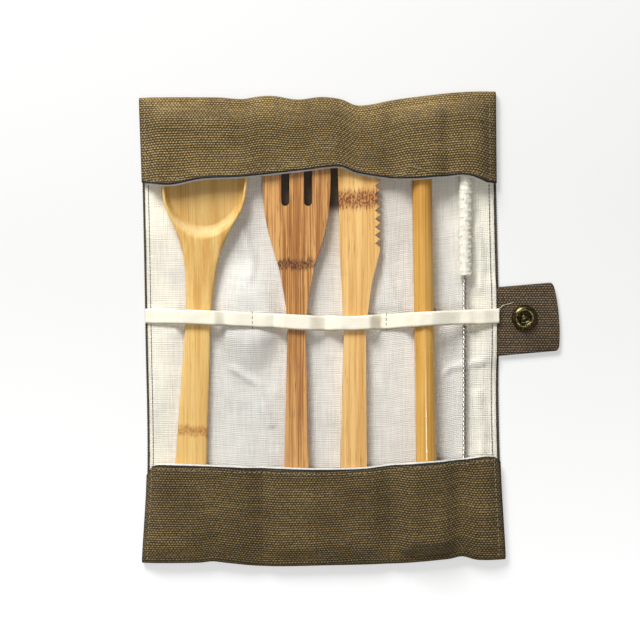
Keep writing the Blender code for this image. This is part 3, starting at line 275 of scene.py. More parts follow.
# Weaves: the pitch of their threads, and the bounds of places that look bound or creamier, of the flap's
# painted light and of the painted highlight along its fold
CANVAS_ACROSS = 0.00070
CANVAS_ALONG = 0.00112
CANVAS_BINDING = (0.0006, 0.0011)
CANVAS_FLAP_PAINTED_LIGHT = (0.100, 0.122)
CANVAS_RIDGE_PAINTED_HIGHLIGHT = 0.1165
LINING_WARP = 0.00084
LINING_WEFT = 0.00088
LINING_CREAM = (0.070, 0.084)
TAPE_RIB = 0.00075
TAPE_ROW = 0.0009
TAPE_BORDER = (-0.0034, -0.0030)
THREAD_PLY = 0.00045

# Soft bounds of the painted dark shade round the fork's head, and of the painted warm brown shade between
# fork and straw
PAINTED_DARK_SHADE_LEFT = (FORK_X - 0.0150, FORK_X - 0.0135)
PAINTED_DARK_SHADE_RIGHT = (KNIFE_X - 0.0070, KNIFE_X - 0.0055)
PAINTED_DARK_SHADE_BELOW = (0.0545, 0.0600)
PAINTED_DARK_SHADE_ABOVE = (0.0035, 0.0045)
PAINTED_WARM_SHADE_LEFT = (FORK_X, FORK_X + 0.0080)
PAINTED_WARM_SHADE_RIGHT = (KNIFE_X - 0.0060, KNIFE_X + 0.0400)
PAINTED_WARM_SHADE_BELOW = (0.012, 0.062)

# Angles up to which shapes are shaded smooth, and the distance within which points are one
CLOTH_SMOOTH = math.radians(60)
SPOON_SMOOTH = math.radians(50)
PART_SMOOTH = math.radians(38)
MERGE_DISTANCE = 0.000002

# Studio: lamps as (name, place, power, size), and the floor's glow and colour near and far
LAMPS = (("key", (-0.46, 0.98, 0.78), 19.5, 0.56), ("overhead", (-0.10, -0.45, 1.5), 2.4, 0.9),
         ("glint", (0.10, -0.13, 1.2), 1.6, 0.08))
WORLD_STRENGTH = 0.17
FLOOR_REACH = 3.0
FLOOR_LEVEL = -0.0001
# The floor's glow and colour are lighter at the pocket's end than at the flap's: painted light.
GLOW_NEAR = (0.56, 0.56, 0.56, 1.0)
GLOW_FAR = (0.36, 0.36, 0.355, 1.0)
FLOOR_NEAR = (0.62, 0.62, 0.62, 1.0)
FLOOR_FAR = (0.545, 0.545, 0.54, 1.0)
CAMERA_PLACE = (-0.0005, 0.0048, 0.8520)
CAMERA_LENS = 100.0
CAMERA_SENSOR = 36.0


def rgb(red, green, blue):
    """A colour written as it looks on screen, from 0 to 255, in linear light."""
    shares = [level / 255 for level in (red, green, blue)]
    linear = [s / 12.92 if s <= 0.04045 else ((s + 0.055) / 1.055) ** 2.4 for s in shares]
    return (*linear, 1.0)


# Shape of the cloth


def along(points, place):
    """Value at a place of the smooth curve through (place, value) points, level past its ends."""
    if place <= points[0][0]:
        return points[0][1]
    if place >= points[-1][0]:
        return points[-1][1]
    i = max(k for k in range(len(points) - 1) if points[k][0] <= place)
    (p0, v0), (p1, v1) = points[i], points[i + 1]

    def slope(k):
        before, after = points[max(k - 1, 0)], points[min(k + 1, len(points) - 1)]
        return (after[1] - before[1]) / (after[0] - before[0])

    span = p1 - p0
    t = (place - p0) / span
    start = (1 + 2 * t) * (1 - t) ** 2 * v0 + t * (1 - t) ** 2 * span * slope(i)
    return start + t * t * (3 - 2 * t) * v1 + t * t * (t - 1) * span * slope(i + 1)


def swell(t):
    """Rise of cloth from 0 to 1: it leaves a seam at a slope and flattens out gently."""
    t = min(max(t, 0.0), 1.0)
    return 0.4 * t * t * (3 - 2 * t) + 0.6 * t * (2 - t)


def fade(t):
    """Fall from 1 to 0, level at both ends."""
    t = min(max(t, 0.0), 1.0)
    return 0.5 + 0.5 * math.cos(math.pi * t)


def left_edge(y):
    return -ROLL_WIDTH / 2 + along(LEFT_DRIFT, y)


def right_edge(y):
    return ROLL_WIDTH / 2 + along(RIGHT_DRIFT, y)


def spoon_x(y):
    return SPOON_X + y * math.tan(SPOON_LEAN)


def straw_x(y):
    return STRAW_X + y * math.tan(STRAW_LEAN)


def spoon_half_width(y):
    return along(SPOON_WIDTHS, y)


def fork_half_width(y):
    return along(FORK_WIDTHS, y)


def knife_half_width(y):
    return along(KNIFE_WIDTHS, y)


def brush_height(y):
    """Height of the middle of the brush's wire, which leans on its bristles and its far end."""
    rise = (BRISTLE_DIAMETER - WIRE_DIAMETER) / 2
    return FLOOR + WIRE_DIAMETER / 2 + (y - WIRE_END) * rise / (BRISTLE_END - WIRE_END)


def under_flap(y):
    """What lies under the flap: (middle, half width, height) of each piece, and the cloth's own gape."""
    brush_top = brush_height(BRISTLE_TOP) + BRISTLE_DIAMETER / 2 - FLOOR
    return ((spoon_x(y), SPOON_HALF_WIDTH, SPOON_RIM_HEIGHT + CLOTH_OVER),
            (FORK_X, FORK_HALF_WIDTH, FORK_TIP_HEIGHT + CLOTH_OVER),
            (KNIFE_X, KNIFE_EDGE_X, KNIFE_THICKNESS + CLOTH_OVER),
            (straw_x(y), STRAW_DIAMETER / 2, STRAW_DIAMETER + CLOTH_OVER),
            (BRUSH_X, BRISTLE_DIAMETER / 2, brush_top + CLOTH_OVER),
            (0.0, ROLL_WIDTH / 2, FLAP_GAPE))


def in_pocket(y):
    """What stands in the pocket, in the same form."""
    return ((spoon_x(y), spoon_half_width(y), SPOON_HANDLE_THICKNESS + CLOTH_OVER),
            (FORK_X, fork_half_width(y), FORK_HANDLE_THICKNESS + CLOTH_OVER),
            (KNIFE_X, knife_half_width(y), KNIFE_THICKNESS + CLOTH_OVER),
            (straw_x(y), STRAW_DIAMETER / 2, STRAW_DIAMETER + CLOTH_OVER),
            (0.0, ROLL_WIDTH / 2, POCKET_GAPE))


def side_share(x, y):
    """0 at the sewn sides of the roll, 1 clear of them."""
    return swell((x - left_edge(y)) / SIDE_RISE) * swell((right_edge(y) - x) / SIDE_RISE)


def seam_share(x, y):
    """0 at the sides and at the two seams of the pocket, 1 in the middle of a compartment."""
    to_seam = min(abs(x - SEAM_LEFT_X), abs(x - SEAM_RIGHT_X))
    return side_share(x, y) * (SEAM_EASE + (1 - SEAM_EASE) * swell(to_seam / SEAM_RISE))


def covered_height(x, contents):
    """Height to which the pieces under the cloth hold it at x, as a smooth maximum."""
    total = 0.0
    for middle, half, height in contents:
        reach = (abs(x - middle) - half) / SAG_REACH
        total += ((height - PINCHED) * fade(reach)) ** CLOTH_BLEND
    return total ** (1 / CLOTH_BLEND)


def upper_height(x, y, from_fold, flap):
    """Height of an upper layer's middle over the lower layer's, at a distance from the fold."""
    share = side_share(x, y) if flap else seam_share(x, y)
    fold = (FLAP_FOLD_HEIGHT if flap else POCKET_FOLD_HEIGHT) - PINCHED
    held = covered_height(x, under_flap(y) if flap else in_pocket(y))
    rise = swell(from_fold / (FLAP_RISE if flap else POCKET_RISE))
    return PINCHED + share * (fold + (held - fold) * rise)


def dome(x, y, margin=0.0):
    """1 over the stud on the back of the roll, 0 clear of it."""
    away = math.hypot(x - STUD_X, (y - STUD_Y) * STUD_DOME_STRETCH)
    return fade((away - STUD_DOME_FLAT - margin) / STUD_DOME_REACH)


def tab_share(x, y):
    """1 over the end of the tab that is sewn in at the right edge, 0 clear of it."""
    inward = (right_edge(y) - TAB_INSERT - x) / TAB_LIFT_REACH
    beyond = (abs(y - TAB_Y) - TAB_WIDTH / 2) / TAB_LIFT_REACH
    return fade(inward) * fade(beyond)


def drifted(x, y):
    """Moves a column sideways near the edges, so that the sides of the roll drift as cloth does."""
    share = abs(2 * x / ROLL_WIDTH) ** 4
    return x + share * (along(LEFT_DRIFT, y) if x < 0 else along(RIGHT_DRIFT, y))


def fold_point(x, t, flap):
    """Point of the canvas's middle surface on a fold, t from 0 at the base to 1 at the upper layer."""
    sign = 1 if flap else -1
    if flap:
        fold_y = FLAP_FOLD_Y + along(FLAP_FOLD_DRIFT, x)
    else:
        fold_y = POCKET_FOLD_Y + along(POCKET_FOLD_DRIFT, x)
    radius = upper_height(drifted(x, fold_y), fold_y, 0.0, flap) / 2
    angle = math.pi * (t - 0.5)
    y = fold_y - sign * (HALF_CANVAS + radius - radius * math.cos(angle))
    return (drifted(x, fold_y), y, HALF_CANVAS + radius + radius * math.sin(angle))


def layer_point(x, t, flap):
    """Point of an upper layer, t from 0 at its fold to 1 at its free edge."""
    start = fold_point(x, 1.0, flap)
    if flap:
        edge = FLAP_FOLD_Y - FLAP_DEPTH + along(FLAP_EDGE_DRIFT, x)
    else:
        edge = POCKET_FOLD_Y + POCKET_DEPTH + along(POCKET_EDGE_DRIFT, x)
    y = start[1] + (edge - start[1]) * t
    side = drifted(x, y)
    height = upper_height(side, y, abs(y - start[1]), flap)
    pucker = rumple(x, y, flap) * side_share(side, y) * swell(abs(y - start[1]) / FLAP_RISE)
    return (side, y, HALF_CANVAS + height + pucker)


def rumple(x, y, flap):
    """Small rise of worn cloth: long soft waves, and finer ones that run with the folds."""
    seed = 3.7 if flap else 9.1
    waves = noise.noise(Vector((x * 40, y * 66, seed))) * WAVE_RISE
    fine = noise.noise(Vector((x * 140, y * 190, seed + 5))) * RIPPLE_RISE
    return max(waves + fine + 0.0002, -0.0003)


def base_point(x, t):
    """Point of the lower layer, t from 0 at the pocket's fold to 1 at the flap's."""
    start, end = fold_point(x, 0.0, False)[1], fold_point(x, 0.0, True)[1]
    y = start + (end - start) * t
    side = drifted(x, y)
    return (side, y, HALF_CANVAS + DOME_HEIGHT * dome(side, y))


def cloth_rows():
    """One function of x for each row of the cloth, from the pocket's free edge to the flap's."""
    pocket, flap = LAYER_ROWS["pocket"], LAYER_ROWS["flap"]
    rows = [lambda x, t=i / pocket: layer_point(x, 1 - t, False) for i in range(pocket)]
    rows += [lambda x, t=i / FOLD_ROWS: fold_point(x, 1 - t, False) for i in range(FOLD_ROWS)]
    rows += [lambda x, t=i / BASE_ROWS: base_point(x, t) for i in range(BASE_ROWS)]
    rows += [lambda x, t=i / FOLD_ROWS: fold_point(x, t, True) for i in range(FOLD_ROWS)]
    rows += [lambda x, t=i / flap: layer_point(x, t, True) for i in range(flap + 1)]
    return rows


def grid_normals(points):
    """Normals of a grid of points, upwards on the lower layer."""
    across = np.gradient(points, axis=1)
    down = np.gradient(points, axis=0)
    normals = np.cross(across, down)
    return normals / np.maximum(np.linalg.norm(normals, axis=2, keepdims=True), 1e-12)


def lining_lift(x, y):
    """How far the lining rises over what is sewn in below it, and in its own creases."""
    sewn = TAB_LIFT * tab_share(x, y) + FLANGE_LIFT * dome(x, y)
    pieces = ((spoon_x(y), spoon_half_width(y)), (FORK_X, fork_half_width(y)), (KNIFE_X, knife_half_width(y)),
              (straw_x(y), STRAW_DIAMETER / 2))
    clear = 1.0
    for middle, half in pieces:
        clear *= 1 - fade((abs(x - middle) - half - PIECE_CLEAR) / PIECE_FADE)
    waves = noise.noise(Vector((x * 70, y * 48, 2.2))) + 0.45 * noise.noise(Vector((x * 190, y * 150, 6.6)))
    from_tape = abs(y - along(TAPE_SAG, x)) - TAPE_WIDTH / 2
    clear *= 1 - fade((from_tape - TAPE_CLEAR) / TAPE_FADE)
    own = WRINKLE_RISE * max(waves + 0.2, 0.0) + CREASE_RISE * crease(x, y)
    return sewn + clear * side_share(x, y) * own


def crease(x, y):
    """Height from 0 to 1 of the ridges that the lining keeps from being folded."""
    highest = 0.0
    for points, half in CREASES:
        for (x0, y0), (x1, y1) in zip(points, points[1:]):
            span = (x1 - x0) ** 2 + (y1 - y0) ** 2
            t = min(max(((x - x0) * (x1 - x0) + (y - y0) * (y1 - y0)) / span, 0.0), 1.0)
            away = math.hypot(x - x0 - t * (x1 - x0), y - y0 - t * (y1 - y0))
            highest = max(highest, fade(away / (2.2 * half)))
    return highest


# Nodes for finishes and for what repeats


def entered(value):
    """What a node's socket takes: the socket of a wire, or the value itself."""
    return value.socket if isinstance(value, Wire) else value


class Wire:
    """A socket that carries a number, so that sums on it are written as sums."""

    def __init__(self, net, socket):
        self.net = net
        self.socket = socket

    def sum_with(self, operation, *others):
        values = dict(enumerate((self, *others)))
        return self.net.wire("ShaderNodeMath", {"operation": operation}, values)

    def __add__(self, other):
        return self.sum_with("ADD", other)

    def __mul__(self, other):
        return self.sum_with("MULTIPLY", other)

    def __sub__(self, other):
        return self.sum_with("SUBTRACT", other)

    def __rsub__(self, other):
        return self * -1 + other

    def sine(self):
        return self.sum_with("SINE")

    def cosine(self):
        return self.sum_with("COSINE")

    def size(self):
        return self.sum_with("ABSOLUTE")

    def between(self, low, high):
        """0 below low, 1 above high, and a soft step from one to the other."""
        return self.net.wire("ShaderNodeMapRange", {"interpolation_type": "SMOOTHSTEP"},
                             {"Value": self, "From Min": low, "From Max": high}, "Result")


class Net:
    """Nodes of one tree, each made by one call."""

    def __init__(self, tree):
        self.tree = tree

    def node(self, kind, settings=None, values=None):
        made = self.tree.nodes.new(kind)
        for name, value in (settings or {}).items():
            setattr(made, name, value)
        for name, value in (values or {}).items():
            value = entered(value)
            if isinstance(value, bpy.types.NodeSocket):
                self.tree.links.new(value, made.inputs[name])
            else:
                made.inputs[name].default_value = value
        return made

    def wire(self, kind, settings=None, values=None, output=0):
        return Wire(self, self.node(kind, settings, values).outputs[output])

    def point(self, x, y, z=0.0):
        return self.wire("ShaderNodeCombineXYZ", None, {0: x, 1: y, 2: z})


class Finish(Net):
    """A material whose colour, roughness and bump are worked out by nodes."""

    def __init__(self, name, **constants):
        self.material = bpy.data.materials.new(name)
        self.material.use_nodes = True
        super().__init__(self.material.node_tree)
        self.shader = self.tree.nodes["Principled BSDF"]
        for socket, value in constants.items():
            self.shader.inputs[socket.replace("_", " ")].default_value = value

    def place(self):
        """Object coordinates as three wires."""
        split = self.node("ShaderNodeSeparateXYZ", None,
                          {0: self.node("ShaderNodeTexCoord").outputs["Object"]})
        return [Wire(self, socket) for socket in split.outputs]

    def weave_place(self):
        """The cloth's own lengths, across and along, in metres."""
        cloth = self.node("ShaderNodeUVMap", {"uv_map": "cloth"})
        split = self.node("ShaderNodeSeparateXYZ", None, {0: cloth.outputs["UV"]})
        return Wire(self, split.outputs[0]), Wire(self, split.outputs[1])

    def cloudy(self, at, scale, detail=3.0, rough=0.5):
        """Noise from 0 to 1 at a point."""
        return self.wire("ShaderNodeTexNoise", None,
                         {"Vector": at, "Scale": scale, "Detail": detail, "Roughness": rough})

    def blend(self, share, first, second):
        """A colour between two."""
        return self.wire("ShaderNodeMix", {"data_type": "RGBA"}, {0: share, 6: first, 7: second}, 2)

    def shaded(self, colour, level):
        """A colour made lighter or darker by a number round 1."""
        grey = self.wire("ShaderNodeCombineColor", None, {0: level, 1: level, 2: level})
        return self.wire("ShaderNodeMix", {"data_type": "RGBA", "blend_type": "MULTIPLY"},
                         {0: 1.0, 6: colour, 7: grey}, 2)

    def done(self, colour, roughness=None, height=None, depth=0.0002, strength=1.0):
        self.tree.links.new(entered(colour), self.shader.inputs["Base Color"])
        if roughness is not None:
            self.tree.links.new(entered(roughness), self.shader.inputs["Roughness"])
        if height is not None:
            bump = self.node("ShaderNodeBump", None,
                             {"Height": height, "Distance": depth, "Strength": strength})
            self.tree.links.new(bump.outputs["Normal"], self.shader.inputs["Normal"])
        return self.material


def canvas_finish(name, dark, light, edge, flap_painted_light=0.0):
    """Coarse canvas: light dots of thread staggered over dark ones, uneven and worn lighter in places; the
    flap is made lighter by painted light, with a painted highlight along its fold.
    """
    made = Finish(name, Roughness=0.95, Sheen_Weight=0.04)
    u, v = made.weave_place()
    at = made.point(u, v)
    drift = made.cloudy(at, 110.0, 2.0) * 0.0006
    sway = made.cloudy(made.point(u, v, 0.7), 90.0, 2.0) * 0.0004
    across = ((u + drift) * (math.pi / CANVAS_ACROSS)).cosine()
    dots = across * ((v + sway) * (math.pi / CANVAS_ALONG)).cosine()
    rows = ((v + sway) * (math.tau / CANVAS_ALONG)).cosine()
    knots = made.cloudy(at, 800.0, 2.0, 0.6)
    yarns = made.cloudy(made.point(u * 0.06, v), 700.0, 2.0)
    wear = made.cloudy(at, 45.0, 4.0, 0.6)
    share = dots * 0.62 + rows * 0.48 + (knots - 0.5) * 2.0 + (yarns - 0.5) * 0.9 + (wear - 0.5) * 0.8
    hem = made.wire("ShaderNodeAttribute", {"attribute_name": "hem"}, None, "Fac")
    woven = made.blend(share.between(-0.50, 1.25), dark, light)
    colour = made.blend(hem.between(*CANVAS_BINDING), edge, woven)
    # Painted light: the flap is lit lighter than the pocket, and a painted highlight runs along the ridge
    # near its fold.
    turned = v.between(*CANVAS_FLAP_PAINTED_LIGHT) * flap_painted_light
    ridge = (1 - (v - CANVAS_RIDGE_PAINTED_HIGHLIGHT).size().between(0.0015, 0.0085)) * flap_painted_light * (wear * 3.6 - 0.8)
    colour = made.shaded(colour, wear * 0.5 + 0.77 + turned + ridge.between(0.0, 0.6) * 0.6)
    return made.done(colour, None, dots + rows * 0.8 + knots * 1.4, 0.00024, 0.9)


def lining_finish():
    """Light cloth with threads thick and thin both ways, creamier at the sides, with painted shade under the
    flap: warm brown between fork and straw, dark brown round the fork's head.
    """
    made = Finish("linen_lining", Roughness=0.92)
    u, v = made.weave_place()
    x, y, z = made.place()
    at = made.point(u, v)
    drift = made.cloudy(at, 220.0, 2.0) * 0.0004
    across = ((u + drift) * (math.tau / LINING_WARP)).cosine()
    threads = across + ((v + drift) * (math.tau / LINING_WEFT)).cosine()
    warp = made.cloudy(made.point(u, v * 0.05), 1300.0, 2.0)
    weft = made.cloudy(made.point(u * 0.05, v), 1300.0, 2.0)
    clouds = made.cloudy(at, 30.0, 4.0, 0.6)
    side = (x.size() + clouds * 0.012).between(*LINING_CREAM)
    colour = made.blend(side, rgb(236, 233, 225), rgb(252, 247, 230))
    # Painted shade: a warm brown on the lining between fork and straw near the flap, where it lies in shade.
    amid = x.between(*PAINTED_WARM_SHADE_LEFT) * (1 - x.between(*PAINTED_WARM_SHADE_RIGHT))
    painted_warm_shade = amid * (y + clouds * 0.010).between(*PAINTED_WARM_SHADE_BELOW) * 0.36
    colour = made.blend(painted_warm_shade, colour, rgb(186, 162, 128))
    # Painted shade: dark brown on the lining round the fork's head under the flap, seen in its slots and in
    # the gap to the knife.
    beside = x.between(*PAINTED_DARK_SHADE_LEFT) * (1 - x.between(*PAINTED_DARK_SHADE_RIGHT))
    painted_dark_shade = beside * y.between(*PAINTED_DARK_SHADE_BELOW) * (1 - z.between(*PAINTED_DARK_SHADE_ABOVE)) * 0.93
    colour = made.blend(painted_dark_shade, colour, rgb(62, 48, 32))
    level = threads * 0.009 + (warp + weft) * 0.34 + clouds * 0.42 + 0.455
    return made.done(made.shaded(colour, level), None, threads * 0.8 + (warp + weft) * 2.2, 0.00012, 0.7)


def tape_finish():
    """Cotton tape: fine ribs across it, and a tan thread along its lower edge."""
    made = Finish("cotton_tape", Roughness=0.85, Sheen_Weight=0.1)
    u, v = made.weave_place()
    ribs = ((u + made.cloudy(made.point(u, v), 300.0, 2.0) * 0.0003) * (math.tau / TAPE_RIB)).cosine()
    rows = (v * (math.tau / TAPE_ROW)).cosine()
    clouds = made.cloudy(made.point(u, v), 120.0, 3.0)
    border = v.between(*TAPE_BORDER)
    colour = made.blend(border, rgb(206, 184, 140), rgb(255, 249, 228))
    return made.done(made.shaded(colour, ribs * 0.006 + rows * 0.006 + clouds * 0.08 + 0.97), None,
                     ribs + rows * 0.6, 0.00007, 0.4)


def bamboo_finish(name, light, dark, node, streaks=1.0, hollow=0.0):
    """Planed bamboo: long fibres in two tones, dark pores, a node's mark, and in a hollow a darker floor,
    partly end grain and partly painted shade, with a painted highlight on its wall.
    """
    made = Finish(name, Specular_IOR_Level=0.35)
    node_y, node_half, node_colour, strength = node
    x, y, z = made.place()
    bend = made.cloudy(made.point(x * 30, y * 12, z * 30), 1.0, 2.0) * 0.0016
    lengths = made.point((x + bend) * 1500, y * 16, z * 700)
    fibres = made.cloudy(lengths, 1.0, 3.0, 0.62)
    broad = made.cloudy(made.point((x + bend) * 260, y * 7, z * 260), 1.0, 3.0)
    pores = made.cloudy(made.point((x + bend) * 3200, y * 90, z * 2200), 1.0, 2.0).between(0.60, 0.72)
    share = (fibres * 0.62 + broad * 0.55 - 0.10).between(0.48 - 0.18 / streaks, 0.48 + 0.18 / streaks)
    colour = made.blend(share, dark, light)
    colour = made.blend(pores * (0.35 * streaks), colour, node_colour)
    wave = made.cloudy(made.point(x * 200, 0.5, 0.5), 1.0, 2.0) * 0.003 - 0.0015
    wave = wave + (made.cloudy(made.point(x * 1100, 0.2, 0.8), 1.0, 2.0) - 0.5) * (node_half * 1.6)
    away = (y - node_y + wave).size()
    grains = made.cloudy(made.point(x * 1400, y * 800, 0.3), 1.0, 2.0).between(0.38, 0.64)
    mark = (1 - away.between(node_half * 0.4, node_half * 1.35)) * (grains * 0.55 + 0.42) * strength
    colour = made.blend(mark, colour, node_colour)
    # The hollow's floor is darkened partly for its end grain and partly as painted shade, and a painted
    # highlight lights the wall at the neck's end of the bowl.
    depth = made.wire("ShaderNodeAttribute", {"attribute_name": "depth"}, None, "Fac")
    stipple = made.cloudy(made.point(x, y), 1500.0, 2.0)
    wall = depth * (1 - depth) * (1 - y.between(0.0490, 0.0600)) * hollow
    colour = made.blend(wall * 10.0, colour, rgb(255, 234, 176))
    colour = made.shaded(colour, 1 - depth * (stipple * 0.5 + 0.75) * hollow)
    rough = fibres * 0.22 + 0.36
    return made.done(colour, rough, fibres + pores * -0.8 + mark * -0.6, 0.00008, 0.5)


def straw_finish():
    """Bamboo straw in its polished skin, with faint long streaks."""
    made = Finish("straw_bamboo")
    x, y, z = made.place()
    fibres = made.cloudy(made.point(x * 1100, y * 9, z * 1100), 1.0, 3.0)
    clouds = made.cloudy(made.point(x * 60, y * 22, z * 60), 1.0, 3.0)
    specks = made.cloudy(made.point(x * 900, y * 420, z * 900), 1.0, 2.0).between(0.68, 0.76)
    share = (fibres * 0.7 + clouds * 0.5 - 0.1).between(0.30, 0.72)
    colour = made.blend(share, rgb(200, 142, 54), rgb(236, 186, 96))
    colour = made.blend(specks * 0.35, colour, rgb(140, 92, 38))
    rough = clouds * 0.14 + 0.10 + y.between(-0.020, 0.010) * 0.35
    return made.done(colour, rough, fibres, 0.00003, 0.3)


def brass_finish(name, dark, bright):
    """Old metal, stained darker in clouds and finely scratched."""
    made = Finish(name, Metallic=1.0)
    x, y, z = made.place()
    at = made.point(x, y, z)
    stains = made.cloudy(at, 900.0, 4.0, 0.65)
    scratches = made.cloudy(made.point(x * 4000, y * 500, z), 1.0, 2.0).between(0.60, 0.70)
    colour = made.blend(stains.between(0.30, 0.70), dark, bright)
    return made.done(made.shaded(colour, scratches * 0.25 + 0.9), stains * 0.30 + 0.16, stains, 0.00003, 0.4)


def steel_finish():
    """Drawn steel wire, with faint streaks."""
    made = Finish("brush_steel", Metallic=1.0)
    x, y, z = made.place()
    drawn = made.cloudy(made.point(x * 2000, y * 200, z * 2000), 1.0, 2.0)
    colour = made.blend(drawn, rgb(168, 164, 156), rgb(226, 223, 216))
    return made.done(colour, drawn * 0.20 + 0.22, drawn, 0.00002, 0.3)


def bristle_finish():
    """Cream bristles, in slightly darker rows that wind round the brush."""
    made = Finish("brush_nylon", Roughness=0.65)
    x, y, z = made.place()
    strands = made.cloudy(made.point(x * 900, y * 2600, z * 900), 1.0, 2.0)
    rows = (y * (math.tau / 0.0043) + x * 420).sine()
    colour = made.blend(strands, rgb(255, 249, 230), rgb(255, 255, 246))
    return made.done(made.shaded(colour, rows * 0.035 + 0.975), None, strands, 0.00005, 0.4)


def thread_finish(name, dark, light):
    """Sewing thread: fine twisted plies."""
    made = Finish(name, Roughness=0.8, Sheen_Weight=0.1)
    x, y, z = made.place()
    plies = ((x + y + z) * (math.tau / THREAD_PLY)).sine() * 0.5 + 0.5
    dust = made.cloudy(made.point(x, y, z), 700.0, 2.0)
    return made.done(made.blend(plies * 0.6 + dust * 0.5 - 0.05, dark, light), None, plies, 0.00008, 0.6)


# Making and declaring pieces


def declare(piece, slot, *nodes):
    """A finished piece: it moves with the pack and stands for its nodes, which it hides; its slot argument is
    not used.
    """
    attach(piece, "root")
    if nodes:
        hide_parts(*nodes)


def new_piece(name, mesh, finish, angle=CLOTH_SMOOTH):
    """An object at the origin, smooth but for its sharp edges."""
    piece = bpy.data.objects.new(name, mesh)
    bpy.context.scene.collection.objects.link(piece)
    mesh.materials.clear()
    mesh.materials.append(finish)
    mesh.shade_smooth()
    mesh.set_sharp_from_angle(angle=angle)
    return piece


def shell_mesh(name, shell):
    """A plain mesh of what was built face by face."""
    mesh = bpy.data.meshes.new(name)
    shell.to_mesh(mesh)
    shell.free()
    return mesh


def bridge(shell, loop, following):
    """A ring of faces between two rings of as many points."""
    for i in range(len(loop)):
        j = (i + 1) % len(loop)
        shell.faces.new((loop[i], loop[j], following[j], following[i]))


def keep_values(mesh, name, values):
    """One number for each point of a mesh, for its finish to read."""
    store = mesh.attributes.new(name, "FLOAT", "POINT")
    store.data.foreach_set("value", np.array(values, np.float32).ravel())


def merged_copy(name, node, finish):
    """A node's own shape with its triangles joined and its curves smooth."""
    shell = bmesh.new()
    shell.from_mesh(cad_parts[node].data)
    bmesh.ops.remove_doubles(shell, verts=shell.verts[:], dist=MERGE_DISTANCE)
    return new_piece(name, shell_mesh(name, shell), finish, PART_SMOOTH)


def grid_mesh(name, points, places, hem=None):
    """A sheet of quads through a grid of points, with the cloth's own lengths as its map."""
    rows, columns = points.shape[:2]
    index = np.arange(rows * columns).reshape(rows, columns)
    quads = np.stack([index[:-1, :-1], index[:-1, 1:], index[1:, 1:], index[1:, :-1]], axis=2).reshape(-1, 4)
    mesh = bpy.data.meshes.new(name)
    mesh.from_pydata(points.reshape(-1, 3).tolist(), [], quads.tolist())
    layer = mesh.uv_layers.new(name="cloth")
    layer.data.foreach_set("uv", places.reshape(-1, 2)[quads.reshape(-1)].astype(np.float32).ravel())
    if hem is not None:
        keep_values(mesh, "hem", hem)
    return mesh


def thicken(piece, thickness):
    """Gives a sheet its thickness, half of it on each side."""
    solid = piece.modifiers.new("thickness", "SOLIDIFY")
    solid.thickness = thickness
    solid.offset = 0
    solid.use_rim = True


def cloth_lengths(points, columns):
    """(across, along) in metres for each point, along from the middle of the roll, and true lengths."""
    steps = np.linalg.norm(np.diff(points, axis=0), axis=2)
    lengths = np.concatenate([np.zeros((1, points.shape[1])), np.cumsum(steps, axis=0)])
    across = np.broadcast_to(np.array(columns), lengths.shape)
    evened = 0.35 * lengths + 0.65 * lengths.mean(axis=1, keepdims=True)
    return np.stack([across, evened - evened[FIRST_BASE_ROW + BASE_ROWS // 2]], axis=2), lengths


def lining_surface(surface, normals):
    """The lining's middle surface, nested in the canvas and lifted over what is sewn in between."""
    inner = surface + normals * LINING_OFFSET
    for row in range(FIRST_BASE_ROW, FIRST_BASE_ROW + BASE_ROWS):
        for column in range(surface.shape[1]):
            x, y, _ = surface[row, column]
            inner[row, column] += normals[row, column] * lining_lift(x, y)
    inner[0, :, 1] += LINING_SHOWS
    inner[-1, :, 1] -= LINING_SHOWS
    inner[:, 0, 0] += LINING_INSET
    inner[:, -1, 0] -= LINING_INSET
    return inner


def make_cloth(canvas, lining):
    """The canvas and the lining nested in it, both from one surface."""
    count = round(ROLL_WIDTH / CLOTH_PITCH)
    columns = [-ROLL_WIDTH / 2 + ROLL_WIDTH * i / count for i in range(count + 1)]
    surface = np.array([[row(x) for x in columns] for row in cloth_rows()])
    normals = grid_normals(surface)
    places, lengths = cloth_lengths(surface, columns)
    hem = np.minimum(lengths, lengths[-1] - lengths)
    hem = np.minimum(hem, ROLL_WIDTH / 2 - np.abs(places[..., 0]) + SIDE_HEM_EASE)
    cover = new_piece("canvas_cloth", grid_mesh("canvas_cloth", surface, places, hem), canvas)
    thicken(cover, CANVAS_THICKNESS)
    declare(cover, "canvas", "canvas_cover")
    inner = lining_surface(surface, normals)
    inside = new_piece("lining_cloth", grid_mesh("lining_cloth", inner, places), lining)
    thicken(inside, LINING_THICKNESS)
    declare(inside, "lining", "lining")
    return surface, normals, lengths


def passed(middle, knots, heights):
    """Knots of the tape round one middle, as (x, height)."""
    return [(middle + away, height) for away, height in zip(knots, heights)]


